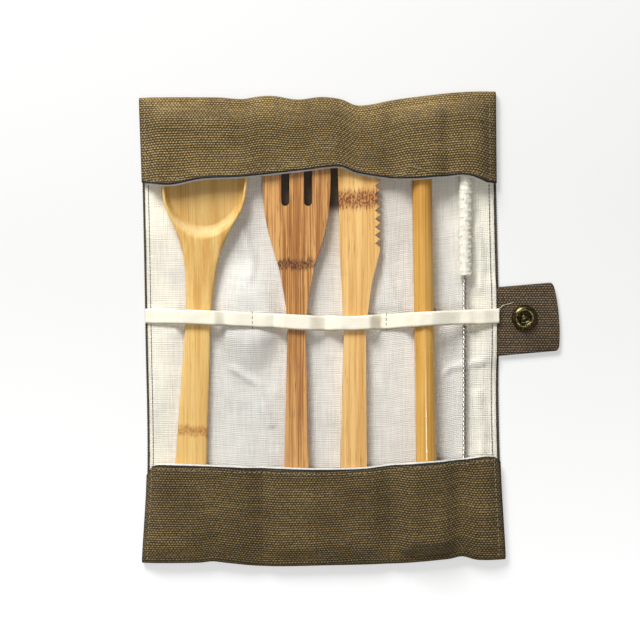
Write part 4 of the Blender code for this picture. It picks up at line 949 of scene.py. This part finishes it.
def tape_knots():
    """(x, height of the tape's middle) where it is sewn down and where it passes over a piece."""
    low = FLOOR + TAPE_THICKNESS / 2
    down, over = low + TAPE_EASE, low + TAPE_SLACK
    over_spoon, over_fork = over + SPOON_HANDLE_THICKNESS, over + FORK_HANDLE_THICKNESS
    over_knife, over_straw = over + KNIFE_THICKNESS, low + STRAW_DIAMETER + GAP
    over_wire = brush_height(TAPE_SAG[-1][1]) + WIRE_DIAMETER / 2 + GAP + TAPE_THICKNESS / 2
    return ((left_edge(0) + TAPE_LEFT_INSET, low),
            *passed(spoon_x(TAPE_SAG[0][1]), SPOON_KNOTS, (down, over_spoon, over_spoon, down)),
            *passed(SEAM_LEFT_X, LEFT_TACK_KNOTS, (low, low)),
            *passed(FORK_X, FORK_KNOTS, (down, over_fork, over_fork)),
            ((FORK_X + KNIFE_X) / 2, low + 2 * TAPE_EASE),
            *passed(KNIFE_X, KNIFE_KNOTS, (over_knife, over_knife)),
            *passed(SEAM_RIGHT_X, RIGHT_TACK_KNOTS, (low, low)),
            *passed(straw_x(TAPE_SAG[-1][1]), STRAW_KNOTS, (down, over_straw, over_straw)),
            *passed(BRUSH_X, (-WIRE_DIAMETER, WIRE_DIAMETER), (over_wire, over_wire)),
            (right_edge(TAB_Y) - TAPE_RIGHT_INSET, low))


def tape_height(x, y):
    """Height of the tape's middle, over the stud's raised place and the sewn end of the tab too."""
    knots = tape_knots()
    under = TAB_LIFT * tab_share(x, y) + (DOME_HEIGHT + FLANGE_LIFT) * dome(x, y, STUD_DOME_MARGIN)
    if x <= knots[0][0]:
        return knots[0][1] + under
    for (x0, z0), (x1, z1) in zip(knots, knots[1:]):
        if x <= x1:
            t = (x - x0) / (x1 - x0)
            return z0 + (z1 - z0) * (0.5 * t + 0.5 * t * t * (3 - 2 * t)) + under
    return knots[-1][1] + under


def tape_point(x, across):
    """Point of the tape's middle surface, across from -1 at its lower edge to 1."""
    y = along(TAPE_SAG, x) + across * TAPE_WIDTH / 2
    curl = TAPE_CURL * noise.noise(Vector((x * 120, across, 4.4)))
    return (x, y + curl, tape_height(x, y) + abs(curl))


def make_tape(finish):
    """A narrow tape across the cutlery, sewn down at the sides and at two tacks."""
    start, end = left_edge(0), right_edge(TAB_Y)
    xs = [start + (end - start) * i / TAPE_STEPS for i in range(TAPE_STEPS + 1)]
    points = np.array([[tape_point(x, 2 * k / (TAPE_ROWS - 1) - 1) for x in xs] for k in range(TAPE_ROWS)])
    steps = np.linalg.norm(np.diff(points[TAPE_ROWS // 2], axis=0), axis=1)
    run = np.concatenate([[0.0], np.cumsum(steps)])
    widths = np.linspace(-TAPE_WIDTH / 2, TAPE_WIDTH / 2, TAPE_ROWS)
    places = np.stack(np.broadcast_arrays(run, widths[:, None]), axis=2)
    tape = new_piece("holding_tape_cloth", grid_mesh("holding_tape_cloth", points, places), finish)
    thicken(tape, TAPE_THICKNESS)
    declare(tape, "tape", "holding_tape")


# Tab


def arc(middle_x, middle_y, radius, start, end, steps):
    """Points of an arc from one angle to another."""
    angles = [start + (end - start) * i / steps for i in range(steps + 1)]
    return [(middle_x + radius * math.cos(a), middle_y + radius * math.sin(a)) for a in angles]


def tab_outline():
    """Points round the tab, in its own lengths from the roll's edge, evenly spaced."""
    half, corner = TAB_WIDTH / 2, TAB_CORNER
    corner_x = TAB_REACH - TAB_BULGE - corner
    radius = (half ** 2 + TAB_BULGE ** 2) / (2 * TAB_BULGE)
    sweep = math.asin((half - corner) / radius)
    points = [(-TAB_INSERT, half), (-TAB_INSERT, -half)]
    points += arc(corner_x, corner - half, corner, math.radians(-90), math.radians(-10), 4)
    points += arc(TAB_REACH - radius, 0.0, radius, -sweep, sweep, 12)
    points += arc(corner_x, half - corner, corner, math.radians(10), math.radians(90), 4)
    ring = np.array(points + points[:1])
    run = np.concatenate([[0.0], np.cumsum(np.linalg.norm(np.diff(ring, axis=0), axis=1))])
    at = np.linspace(0.0, run[-1], TAB_POINTS, endpoint=False)
    return np.stack([np.interp(at, run, ring[:, k]) for k in range(2)], axis=1)


def tab_place(u, v, z):
    """A point of the tab, from its own lengths to the pack's."""
    cos, sin = math.cos(TAB_TURN), math.sin(TAB_TURN)
    return (right_edge(TAB_Y) + u * cos - v * sin, TAB_Y + u * sin + v * cos, z)


def tab_side(shell, outline, side):
    """One face of the tab, pillowed from its turned edge to its middle, and its outermost ring."""
    middle = np.array([TAB_REACH * TAB_MIDDLE, 0.0])
    loops = []
    for ring in range(TAB_RINGS):
        flat = middle + (outline - middle) * (1 - (ring / TAB_RINGS) ** 1.5)
        depth = TAB_THICKNESS / 2 * min(1.0, 0.42 + 0.58 * swell(ring / 2.2))
        loops.append([])
        for u, v in flat:
            wave = TAB_WAVE * noise.noise(Vector((u * 160, v * 160, side * 3.0))) * min(ring / 3, 1.0)
            z = TAB_LEVEL + side * (depth - TAB_WITHIN + wave)
            loops[-1].append(shell.verts.new(tab_place(u, v, z)))
    centre = shell.verts.new(tab_place(*middle, TAB_LEVEL + side * TAB_THICKNESS / 2))
    for outer, inner in zip(loops, loops[1:]):
        bridge(shell, outer, inner)
    for i in range(TAB_POINTS):
        shell.faces.new((loops[-1][i], loops[-1][(i + 1) % TAB_POINTS], centre))
    return loops[0]


def make_tab(finish):
    """The closing tab: two layers of canvas turned in at their edges, a little pillowed."""
    outline = tab_outline()
    shell = bmesh.new()
    layer = shell.loops.layers.uv.new("cloth")
    top, bottom = [tab_side(shell, outline, side) for side in (1, -1)]
    bridge(shell, bottom, top)
    bmesh.ops.recalc_face_normals(shell, faces=shell.faces[:])
    for face in shell.faces:
        for loop in face.loops:
            loop[layer].uv = (loop.vert.co.x, loop.vert.co.y)
    mesh = shell_mesh("closing_tab_cloth", shell)
    keep_values(mesh, "hem", [TAB_FROM_HEM] * len(mesh.vertices))
    tab = new_piece("closing_tab_cloth", mesh, finish)
    declare(tab, "tab_canvas", "closing_tab")


# Threads, wire and bristles, grown by Geometry Nodes


class Growth(Net):
    """A Geometry Nodes tree with named sizes, which ends in one plain mesh of one finish."""

    def __init__(self, name, **sizes):
        super().__init__(bpy.data.node_groups.new(name, "GeometryNodeTree"))
        self.sizes = sizes
        panel = self.tree.interface
        panel.new_socket("Path", in_out="INPUT", socket_type="NodeSocketGeometry")
        for size in sizes:
            panel.new_socket(size, in_out="INPUT", socket_type="NodeSocketFloat")
        panel.new_socket("Finish", in_out="INPUT", socket_type="NodeSocketMaterial")
        panel.new_socket("Result", in_out="OUTPUT", socket_type="NodeSocketGeometry")
        self.entry = self.tree.nodes.new("NodeGroupInput")
        self.exit = self.tree.nodes.new("NodeGroupOutput")

    def size(self, name):
        return Wire(self, self.entry.outputs[name])

    def bar(self, curve, radius, sides):
        """A round bar along a curve, closed at its ends."""
        ring = self.wire("GeometryNodeCurvePrimitiveCircle", None, {"Resolution": sides, "Radius": radius})
        return self.wire("GeometryNodeCurveToMesh", None,
                         {"Curve": curve, "Profile Curve": ring, "Fill Caps": True})

    def joined(self, first, second):
        both = self.node("GeometryNodeJoinGeometry", None, {0: first})
        self.tree.links.new(second.socket, both.inputs[0])
        return both.outputs[0]

    def grow(self, name, geometry, path, finish):
        """Ends the tree, runs it on a path of points and keeps what it makes."""
        real = self.wire("GeometryNodeRealizeInstances", None, {0: geometry})
        soft = self.wire("GeometryNodeSetShadeSmooth", None, {0: real})
        final = self.wire("GeometryNodeSetMaterial", None,
                          {"Geometry": soft, "Material": self.entry.outputs["Finish"]})
        self.tree.links.new(final.socket, self.exit.inputs[0])
        seed = bpy.data.objects.new(name + "_path", path)
        bpy.context.scene.collection.objects.link(seed)
        modifier = seed.modifiers.new("growth", "NODES")
        modifier.node_group = self.tree
        for item in self.tree.interface.items_tree:
            if item.in_out == "INPUT" and item.name in self.sizes:
                modifier[item.identifier] = self.sizes[item.name]
            if item.in_out == "INPUT" and item.name == "Finish":
                modifier[item.identifier] = finish
        graph = bpy.context.evaluated_depsgraph_get()
        mesh = bpy.data.meshes.new_from_object(seed.evaluated_get(graph))
        bpy.data.objects.remove(seed)
        mesh.name = name
        return new_piece(name, mesh, finish)


def path_mesh(name, lines):
    """Lines of points as a mesh of edges."""
    points, edges = [], []
    for line in lines:
        edges += [(len(points) + i, len(points) + i + 1) for i in range(len(line) - 1)]
        points += [tuple(point) for point in line]
    mesh = bpy.data.meshes.new(name)
    mesh.from_pydata(points, edges, [])
    return mesh


def sew(name, lines, pitch, length, finish, slot, thick=THREAD):
    """A row of stitches along lines on the cloth."""
    tree = Growth(name + "_stitches", Pitch=pitch, Length=length, Thread=thick)
    curve = tree.wire("GeometryNodeMeshToCurve", None, {0: tree.entry.outputs["Path"]})
    spots = tree.node("GeometryNodeCurveToPoints", {"mode": "LENGTH"},
                      {0: curve, "Length": tree.size("Pitch")})
    turn = tree.wire("FunctionNodeAlignRotationToVector", {"axis": "X"}, {"Vector": spots.outputs["Tangent"]})
    stitch = tree.wire("GeometryNodeMeshIcoSphere", None, {"Radius": 1.0, "Subdivisions": 2})
    radius = tree.size("Thread") * 0.5
    placed = tree.wire("GeometryNodeInstanceOnPoints", None, {
        "Points": spots.outputs["Points"], "Instance": stitch, "Rotation": turn,
        "Scale": tree.point(tree.size("Length") * 0.5, radius, radius)})
    declare(tree.grow(name, placed, path_mesh(name, lines), finish), slot)


def lay_threads(name, lines, finish, slot):
    """Loose ends of thread, each a thin round strand along a line."""
    tree = Growth(name + "_strands", Thread=THREAD * 0.7)
    curve = tree.wire("GeometryNodeMeshToCurve", None, {0: tree.entry.outputs["Path"]})
    strand = tree.bar(curve, tree.size("Thread") * 0.5, 6)
    declare(tree.grow(name, strand, path_mesh(name, lines), finish), slot)


def twist_wire(finish):
    """Two strands of wire twisted round each other for the whole length of the brush."""
    run, rise = WIRE_TOP - WIRE_END, brush_height(WIRE_TOP) - brush_height(WIRE_END)
    length = math.hypot(run, rise)
    tree = Growth("twisted_wire", Strand=WIRE_DIAMETER / 4, Length=length, Turns=length / WIRE_TWIST)
    helix = tree.wire("GeometryNodeCurveSpiral", None, {
        "Resolution": 14, "Rotations": tree.size("Turns"), "Start Radius": tree.size("Strand"),
        "End Radius": tree.size("Strand"), "Height": tree.size("Length")})
    first = tree.bar(helix, tree.size("Strand"), 8)
    second = tree.wire("GeometryNodeTransform", None, {"Geometry": first, "Rotation": (0.0, 0.0, math.pi)})
    laid = tree.wire("GeometryNodeTransform", None, {
        "Geometry": tree.joined(first, second), "Rotation": (math.atan2(rise, run) - math.pi / 2, 0.0, 0.0),
        "Translation": (BRUSH_X, WIRE_END, brush_height(WIRE_END))})
    start = path_mesh("wire_path", [[(0.0, 0.0, 0.0), (0.0, 0.0, length)]])
    declare(tree.grow("twisted_wire", laid, start, finish), "brush_steel", "brush_wire")


def grow_bristles(finish):
    """Bristles that stand out all round the wire in a close double spiral, over a dense heart."""
    start = Vector((BRUSH_X, BRISTLE_END, brush_height(BRISTLE_END)))
    end = Vector((BRUSH_X, BRISTLE_TOP, brush_height(BRISTLE_TOP)))
    tree = Growth("bristle_head", Reach=BRISTLE_DIAMETER / 2, Bristle=BRISTLE_RADIUS, Heart=BRISTLE_HEART)
    spine = tree.wire("GeometryNodeMeshLine", {"mode": "END_POINTS"}, {
        "Count": BRISTLE_COUNT, "Start Location": tuple(start), "Offset": tuple(end)})
    index = tree.wire("GeometryNodeInputIndex")

    def chance(low, high, seed):
        made = tree.node("FunctionNodeRandomValue", {"data_type": "FLOAT"}, {2: low, 3: high, "Seed": seed})
        return Wire(tree, made.outputs[1])

    bristle = tree.wire("GeometryNodeMeshCone", {"fill_type": "NONE"}, {
        "Vertices": 3, "Radius Top": tree.size("Bristle") * 0.7, "Radius Bottom": tree.size("Bristle"),
        "Depth": tree.size("Reach")})
    winding = index * (math.tau * BRISTLE_TURNS / BRISTLE_COUNT)
    round_turn = winding + index * math.pi + chance(-0.75, 0.75, 3)
    reach = chance(0.93, 1.0, 5) * (winding.sine() * 0.055 + 0.945)
    placed = tree.wire("GeometryNodeInstanceOnPoints", None, {
        "Points": spine, "Instance": bristle, "Rotation": tree.point(chance(-0.16, 0.16, 7), round_turn),
        "Scale": tree.point(1.0, 1.0, reach)})
    line = tree.wire("GeometryNodeCurvePrimitiveLine", None, {"Start": tuple(start), "End": tuple(end)})
    heart = tree.bar(line, tree.size("Heart"), 14)
    start_path = path_mesh("bristle_path", [[start, end]])
    grown = tree.grow("bristle_head", tree.joined(placed, heart), start_path, finish)
    declare(grown, "bristle", "brush_bristles")


def surface_line(surface, normals, x_of, rows, over):
    """A line on the cloth at a given x for each row, at a distance from its middle surface."""
    line = []
    for row in rows:
        xs = surface[row, :, 0]
        order = np.argsort(xs)
        x = x_of(surface[row, len(xs) // 2, 1])
        point = [np.interp(x, xs[order], surface[row, order, k]) for k in range(3)]
        normal = [np.interp(x, xs[order], normals[row, order, k]) for k in range(3)]
        line.append(np.array(point) + np.array(normal) * over)
    return line


def cross_line(surface, normals, lengths, inset, flap, over):
    """A line across the cloth at a distance from a free edge."""
    line = []
    for column in range(3, surface.shape[1] - 3):
        run = lengths[:, column]
        at = run[-1] - inset if flap else inset
        point = [np.interp(at, run, surface[:, column, k]) for k in range(3)]
        normal = [np.interp(at, run, normals[:, column, k]) for k in range(3)]
        line.append(np.array(point) + np.array(normal) * over)
    return line


def make_sewing(surface, normals, lengths, dark, tan, brown):
    """Side seams, the cord-like edges, hems and the pocket's two seams."""
    last = surface.shape[0]
    base = range(FIRST_BASE_ROW, FIRST_BASE_ROW + BASE_ROWS + 1)
    upper = [range(1, LAYER_ROWS["pocket"] + 1), range(last - LAYER_ROWS["flap"], last - 1)]
    inner, outer = LINING_TOP + THREAD * 0.18, -HALF_CANVAS - THREAD * 0.15
    sides = [lambda y: left_edge(y) + LEFT_SEAM_INSET, lambda y: right_edge(y) - RIGHT_SEAM_INSET]
    lines = [surface_line(surface, normals, side, base, inner) for side in sides]
    lines = [[(x, y, z + lining_lift(x, y)) for x, y, z in line] for line in lines]
    sew("side_seams", lines, SEAM_PITCH, SEAM_STITCH, dark, "lining")
    cords = [lambda y: left_edge(y) + EDGE_CORD_INSET, lambda y: right_edge(y) - EDGE_CORD_INSET]
    lines = [surface_line(surface, normals, cord, base, EDGE_CORD_RAISED) for cord in cords]
    sew("edge_cords", lines, EDGE_CORD_PITCH, HEM_STITCH, brown, "canvas", EDGE_CORD)
    lines = [surface_line(surface, normals, side, rows, outer) for side in sides for rows in upper]
    lines += [cross_line(surface, normals, lengths, HEM_STITCH_INSET, flap, outer) for flap in (True, False)]
    sew("hem_stitches", lines, HEM_PITCH, HEM_STITCH, tan, "canvas")
    seams = [lambda y, x=x: x for x in (SEAM_LEFT_X, SEAM_RIGHT_X)]
    lines = [surface_line(surface, normals, seam, upper[0], outer) for seam in seams]
    sew("pocket_seams", lines, HEM_PITCH, HEM_STITCH, brown, "canvas")


def tape_tacks():
    """Short stitches, in line across the tape, that hold it at its two tacks."""
    tacks = []
    for x, top in TACKS:
        for step in range(TACK_STITCHES):
            y = top - TACK_PITCH * step
            z = tape_height(x, y) + TAPE_THICKNESS / 2
            tacks.append([(x, y - 0.0006, z), (x, y + 0.0001, z + 0.00008), (x, y + 0.0008, z)])
    return tacks


def over_flap(x, y):
    """Height of a thread that lies on the flap."""
    return HALF_CANVAS + upper_height(x, y, FLAP_FOLD_Y - y, True) + HALF_CANVAS + THREAD_ABOVE


def loose_ends():
    """Fine tan threads that lie on the flap, each wandering a little."""
    made = []
    for x0, y0, x1, y1, bow in LOOSE_ENDS:
        line = []
        for i in range(LOOSE_STEPS + 1):
            t = i / LOOSE_STEPS
            x = x0 + (x1 - x0) * t
            y = y0 + (y1 - y0) * t + bow * math.sin(math.pi * t) + 0.0004 * math.sin(9 * t)
            line.append((x, y, over_flap(x, y)))
        made.append(line)
    return made


def tab_thread():
    """A cream end of thread that lies from the seam over the tab."""
    line = []
    for i in range(TAB_THREAD_STEPS + 1):
        t = i / TAB_THREAD_STEPS
        x = TAB_THREAD_START[0] + TAB_THREAD_RUN[0] * t
        y = TAB_THREAD_START[1] + TAB_THREAD_RUN[1] * t + 0.0006 * math.sin(5 * t)
        line.append((x, y, TAB_BOTTOM + TAB_THICKNESS + 0.0016 * fade(t * 2.2) + 0.00015))
    return line


# The pieces of bamboo and metal


def make_straw(finish):
    """The straw as a smooth hollow tube that tapers, a little uneven as a stem is."""
    low, high = [corner[1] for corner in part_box("straw")]
    start, end = low + STRAW_END_GAP, high - STRAW_END_GAP
    first, last = start + STRAW_ROUNDING, end - STRAW_ROUNDING

    def outer(y):
        return STRAW_DIAMETER / 2 + (STRAW_TOP_DIAMETER - STRAW_DIAMETER) / 2 * (y - low) / (high - low)

    bore = STRAW_DIAMETER / 2 - STRAW_WALL
    rings = [(start, outer(start) - STRAW_ROUNDING)]
    for i in range(STRAW_STEPS + 1):
        y = first + (last - first) * i / STRAW_STEPS
        rings.append((y, outer(y) * (0.992 + 0.006 * math.sin(y * 80) + 0.002 * math.sin(y * 260))))
    rings += [(end, outer(end) - STRAW_ROUNDING), (end, bore), (start, bore)]
    shell = bmesh.new()
    loops = []
    for y, radius in rings:
        loops.append([])
        for x, z in arc(straw_x(y), FLOOR + outer(y), radius, 0.0, math.tau, STRAW_SIDES)[:-1]:
            loops[-1].append(shell.verts.new((x, y, z)))
    for loop, following in zip(loops, loops[1:] + loops[:1]):
        bridge(shell, loop, following)
    bmesh.ops.recalc_face_normals(shell, faces=shell.faces[:])
    straw = new_piece("straw_bamboo", shell_mesh("straw_bamboo", shell), finish)
    declare(straw, "straw_bamboo", "straw")


def notch_cutter():
    """Sharp wedges along the knife's edge, one for each notch between two teeth."""
    edge = KNIFE_X + KNIFE_EDGE_X
    beyond = edge + CUTTER_BEYOND
    half = KNIFE_NOTCH_HALF * (KNIFE_NOTCH_DEPTH + CUTTER_BEYOND) / KNIFE_NOTCH_DEPTH
    shell = bmesh.new()
    for k in range(KNIFE_TOOTH_COUNT):
        y = KNIFE_FIRST_NOTCH + k * KNIFE_TOOTH_PITCH
        plan = ((edge - KNIFE_NOTCH_DEPTH, y), (beyond, y - half), (beyond, y + half))
        low, high = [[shell.verts.new((px, py, z)) for px, py in plan] for z in (0.0, CUTTER_HEIGHT)]
        shell.faces.new(reversed(low))
        shell.faces.new(high)
        bridge(shell, low, high)
    cutter = bpy.data.objects.new("notch_cutter", shell_mesh("notch_cutter", shell))
    bpy.context.scene.collection.objects.link(cutter)
    return cutter


def cut_teeth(knife, finish):
    """The knife with its notches cut sharp and deep, as a plain mesh."""
    cutter = notch_cutter()
    cut = knife.modifiers.new("teeth", "BOOLEAN")
    cut.operation = "DIFFERENCE"
    cut.solver = "EXACT"
    cut.object = cutter
    graph = bpy.context.evaluated_depsgraph_get()
    mesh = bpy.data.meshes.new_from_object(knife.evaluated_get(graph))
    bpy.data.objects.remove(knife)
    bpy.data.objects.remove(cutter)
    return new_piece("knife_bamboo", mesh, finish, PART_SMOOTH)


def spoon_section(y):
    """(half width, top, bottom, height of the widest line, roundness below) of the spoon at y."""
    share = (y - CUTLERY_END) / (CUTLERY_TOP - CUTLERY_END)
    half = SPOON_HALF_WIDTH * along(SPOON_SHAPE, share)
    if y < CUTLERY_END + SPOON_END_RADIUS:
        level = 1 - (y - CUTLERY_END) / SPOON_END_RADIUS
        half -= SPOON_END_RADIUS * (1 - math.sqrt(1 - level ** 2))
    if y > SPOON_BOWL_CENTRE:
        level = (y - SPOON_BOWL_CENTRE) / (CUTLERY_TOP - SPOON_BOWL_CENTRE)
        half = SPOON_HALF_WIDTH * math.sqrt(1 - level ** 2)
    high = SPOON_RIM_HEIGHT * along(SPOON_TOP, share)
    low = SPOON_RIM_HEIGHT * along(SPOON_BOTTOM, share)
    bowl = min(max((share - SPOON_BLEND[0]) / (SPOON_BLEND[1] - SPOON_BLEND[0]), 0.0), 1.0)
    widest = (1 - bowl) * (high + low) / 2 + bowl * (high - SPOON_RIM_DROP)
    return half, high, low, widest, HANDLE_ROUNDNESS - (HANDLE_ROUNDNESS - BOWL_ROUNDNESS) * bowl


def scoop_depth(x, y):
    """How deep the bowl is hollowed at a point: a gentle floor inside a wall that is widest at the neck."""
    (outer_y, outer_long, outer_wide), (inner_y, inner_long, inner_wide) = SCOOP_OUTER, SCOOP_INNER
    inside = 1 - math.hypot(x / outer_wide, (y - outer_y) / outer_long)
    beyond = max(math.hypot(x / inner_wide, (y - inner_y) / inner_long) - 1, 0.0)
    if inside <= 0:
        return 0.0
    return SCOOP_DEPTH * (1 - fade(inside / (inside + beyond)))


def spoon_places():
    """Places of the spoon's sections, closer together where its outline turns."""
    places = [CUTLERY_END + SPOON_END_RADIUS * (1 - math.cos(math.radians(a))) for a in (12, 28, 45, 62, 78)]
    places += list(np.arange(CUTLERY_END + SPOON_END_RADIUS, SPOON_NECK, HANDLE_PITCH))
    places += list(np.arange(SPOON_NECK, SPOON_BOWL_CENTRE, BOWL_PITCH))
    bowl = CUTLERY_TOP - SPOON_BOWL_CENTRE
    return places + [SPOON_BOWL_CENTRE + bowl * math.sin(math.radians(a)) for a in range(0, 89, 2)]


def bulge(share, roundness):
    """Height from 0 to 1 of a rounded outline at a share of its half width."""
    return max(1 - abs(share) ** roundness, 0.0) ** (1 / roundness)


def spoon_ring(y):
    """Points round the spoon's section at y, over the top and back below, before the spoon is leant."""
    half, high, low, widest, roundness = spoon_section(y)
    ring = []
    for i in range(2 * SPOON_SIDES):
        share = -math.cos(math.pi * min(i, 2 * SPOON_SIDES - i) / SPOON_SIDES)
        if i <= SPOON_SIDES:
            level = widest + (high - widest) * bulge(share, HANDLE_ROUNDNESS) - scoop_depth(half * share, y)
        else:
            level = widest - (widest - low) * bulge(share, roundness)
        ring.append((half * share, level))
    return ring


def make_spoon(finish):
    """The spoon as a smooth loft, its bowl hollowed from above."""
    cos, sin = math.cos(SPOON_LEAN), math.sin(SPOON_LEAN)
    shell = bmesh.new()
    rings = []
    for y in spoon_places():
        rings.append([shell.verts.new((SPOON_X + x * cos + y * sin, y * cos - x * sin, FLOOR + level))
                      for x, level in spoon_ring(y)])
    for ring, following in zip(rings, rings[1:]):
        bridge(shell, ring, following)
    shell.faces.new(rings[0])
    shell.faces.new(list(reversed(rings[-1])))
    bmesh.ops.recalc_face_normals(shell, faces=shell.faces[:])
    mesh = shell_mesh("spoon_bamboo", shell)
    places = [((vert.co.x - SPOON_X - vert.co.y * sin) / cos, vert.co.y) for vert in mesh.vertices]
    keep_values(mesh, "depth", [scoop_depth(x, y) / SCOOP_DEPTH for x, y in places])
    declare(new_piece("spoon_bamboo", mesh, finish, SPOON_SMOOTH), "spoon_bamboo", "spoon")


def make_cutlery():
    """Spoon and straw drawn anew, fork and knife from their own solids, the knife with sharper teeth."""
    # The spoon's last number sets its bowl's darker floor, partly end grain and partly painted shade, and the
    # painted highlight on the bowl's wall.
    make_spoon(bamboo_finish("spoon_bamboo", rgb(246, 206, 128), rgb(220, 166, 82),
                             (-0.0480, 0.0026, rgb(170, 100, 36), 0.80), 1.0, 0.24))
    fork = bamboo_finish("fork_bamboo", rgb(226, 170, 100), rgb(164, 104, 48),
                         (0.0314, 0.0027, rgb(86, 44, 18), 1.05), 1.9)
    knife = bamboo_finish("knife_bamboo", rgb(248, 203, 128), rgb(218, 160, 82),
                          (0.0624, 0.0046, rgb(132, 60, 24), 1.10), 1.2)
    make_straw(straw_finish())
    for name, node, finish in (("fork_bamboo", "fork", fork), ("knife_bamboo", "knife", knife)):
        piece = merged_copy(name, node, finish)
        if node == "knife":
            piece = cut_teeth(piece, finish)
        even = piece.modifiers.new("even", "WEIGHTED_NORMAL")
        even.keep_sharp = True
        declare(piece, name, node)


def make_snaps():
    """The parts of the ring snap, each from its own solid."""
    brass = brass_finish("antique_brass", rgb(44, 38, 22), rgb(138, 124, 82))
    steel = brass_finish("spring_steel", rgb(60, 56, 50), rgb(140, 136, 126))
    for name, node, finish, slot in (("snap_socket_brass", "snap_socket", brass, "antique_brass"),
                                     ("snap_cap_brass", "snap_cap", brass, "antique_brass"),
                                     ("snap_stud_brass", "snap_stud", brass, "antique_brass"),
                                     ("stud_post_brass", "stud_post", brass, "antique_brass"),
                                     ("snap_spring_steel", "snap_spring", steel, "spring_steel")):
        declare(merged_copy(name, node, finish), slot, node)


# Floor, lamps and camera


def make_floor():
    """A pale floor that glows a little to the camera alone, so that it shows nearly white."""
    made = Finish("pale_floor", Roughness=0.9, Emission_Strength=1.0)
    x, y, z = made.place()
    # Painted light: the floor's colour and glow are darker towards the flap's end, lighter towards the
    # pocket's.
    nearer = (y + made.cloudy(made.point(x, y, z), 3.0, 2.0) * 0.1).between(-0.16, 0.12)
    seen = Wire(made, made.node("ShaderNodeLightPath").outputs["Is Camera Ray"])
    glow = made.blend(seen, (0.0, 0.0, 0.0, 1.0), made.blend(nearer, GLOW_NEAR, GLOW_FAR))
    made.tree.links.new(glow.socket, made.shader.inputs["Emission Color"])
    floor_finish = made.done(made.blend(nearer, FLOOR_NEAR, FLOOR_FAR))
    mesh = bpy.data.meshes.new("floor")
    signs = ((-1, -1), (1, -1), (1, 1), (-1, 1))
    corners = [(FLOOR_REACH * i, FLOOR_REACH * j, FLOOR_LEVEL) for i, j in signs]
    mesh.from_pydata(corners, [], [(0, 1, 2, 3)])
    floor = bpy.data.objects.new("floor", mesh)
    mesh.materials.append(floor_finish)
    bpy.context.scene.collection.objects.link(floor)


def make_lamp(name, place, power, size):
    """A square lamp that faces the middle of the roll."""
    data = bpy.data.lights.new(name, "AREA")
    data.energy = power
    data.size = size
    lamp = bpy.data.objects.new(name, data)
    lamp.location = place
    lamp.rotation_euler = (-Vector(place)).to_track_quat("-Z", "Y").to_euler()
    bpy.context.scene.collection.objects.link(lamp)


def make_studio():
    """A low key from beyond the flap, a broad lamp nearer the pocket, a small one for the glints."""
    for lamp in LAMPS:
        make_lamp(*lamp)
    world = bpy.data.worlds.new("studio")
    world.use_nodes = True
    world.node_tree.nodes["Background"].inputs["Color"].default_value = (1.0, 1.0, 1.0, 1.0)
    world.node_tree.nodes["Background"].inputs["Strength"].default_value = WORLD_STRENGTH
    bpy.context.scene.world = world


def make_camera():
    """Straight above the roll, with a long lens."""
    data = bpy.data.cameras.new("camera")
    data.lens = CAMERA_LENS
    data.sensor_width = CAMERA_SENSOR
    camera = bpy.data.objects.new("camera", data)
    camera.location = CAMERA_PLACE
    bpy.context.scene.collection.objects.link(camera)
    bpy.context.scene.camera = camera


def main():
    # The canvas's last number is the strength of the painted light on its flap.
    canvas = canvas_finish("olive_canvas", rgb(69, 54, 26), rgb(163, 139, 90), rgb(44, 42, 42), 0.44)
    tab = canvas_finish("tab_canvas", rgb(60, 48, 31), rgb(154, 131, 101), rgb(44, 42, 42))
    dark = thread_finish("dark_thread", rgb(56, 46, 54), rgb(108, 95, 102))
    tan = thread_finish("tan_thread", rgb(130, 112, 82), rgb(186, 168, 134))
    brown = thread_finish("brown_thread", rgb(40, 36, 30), rgb(96, 84, 62))
    cream = thread_finish("cream_thread", rgb(206, 196, 168), rgb(248, 242, 222))
    surface, normals, lengths = make_cloth(canvas, lining_finish())
    make_tape(tape_finish())
    make_tab(tab)
    make_cutlery()
    make_snaps()
    twist_wire(steel_finish())
    grow_bristles(bristle_finish())
    make_sewing(surface, normals, lengths, dark, tan, brown)
    lay_threads("tape_tacks", tape_tacks(), dark, "tape")
    lay_threads("loose_threads", loose_ends(), tan, "canvas")
    lay_threads("tab_thread", [tab_thread()], cream, "tab_canvas")
    make_floor()
    make_studio()
    make_camera()
    bpy.context.scene.view_settings.view_transform = "Standard"


main()
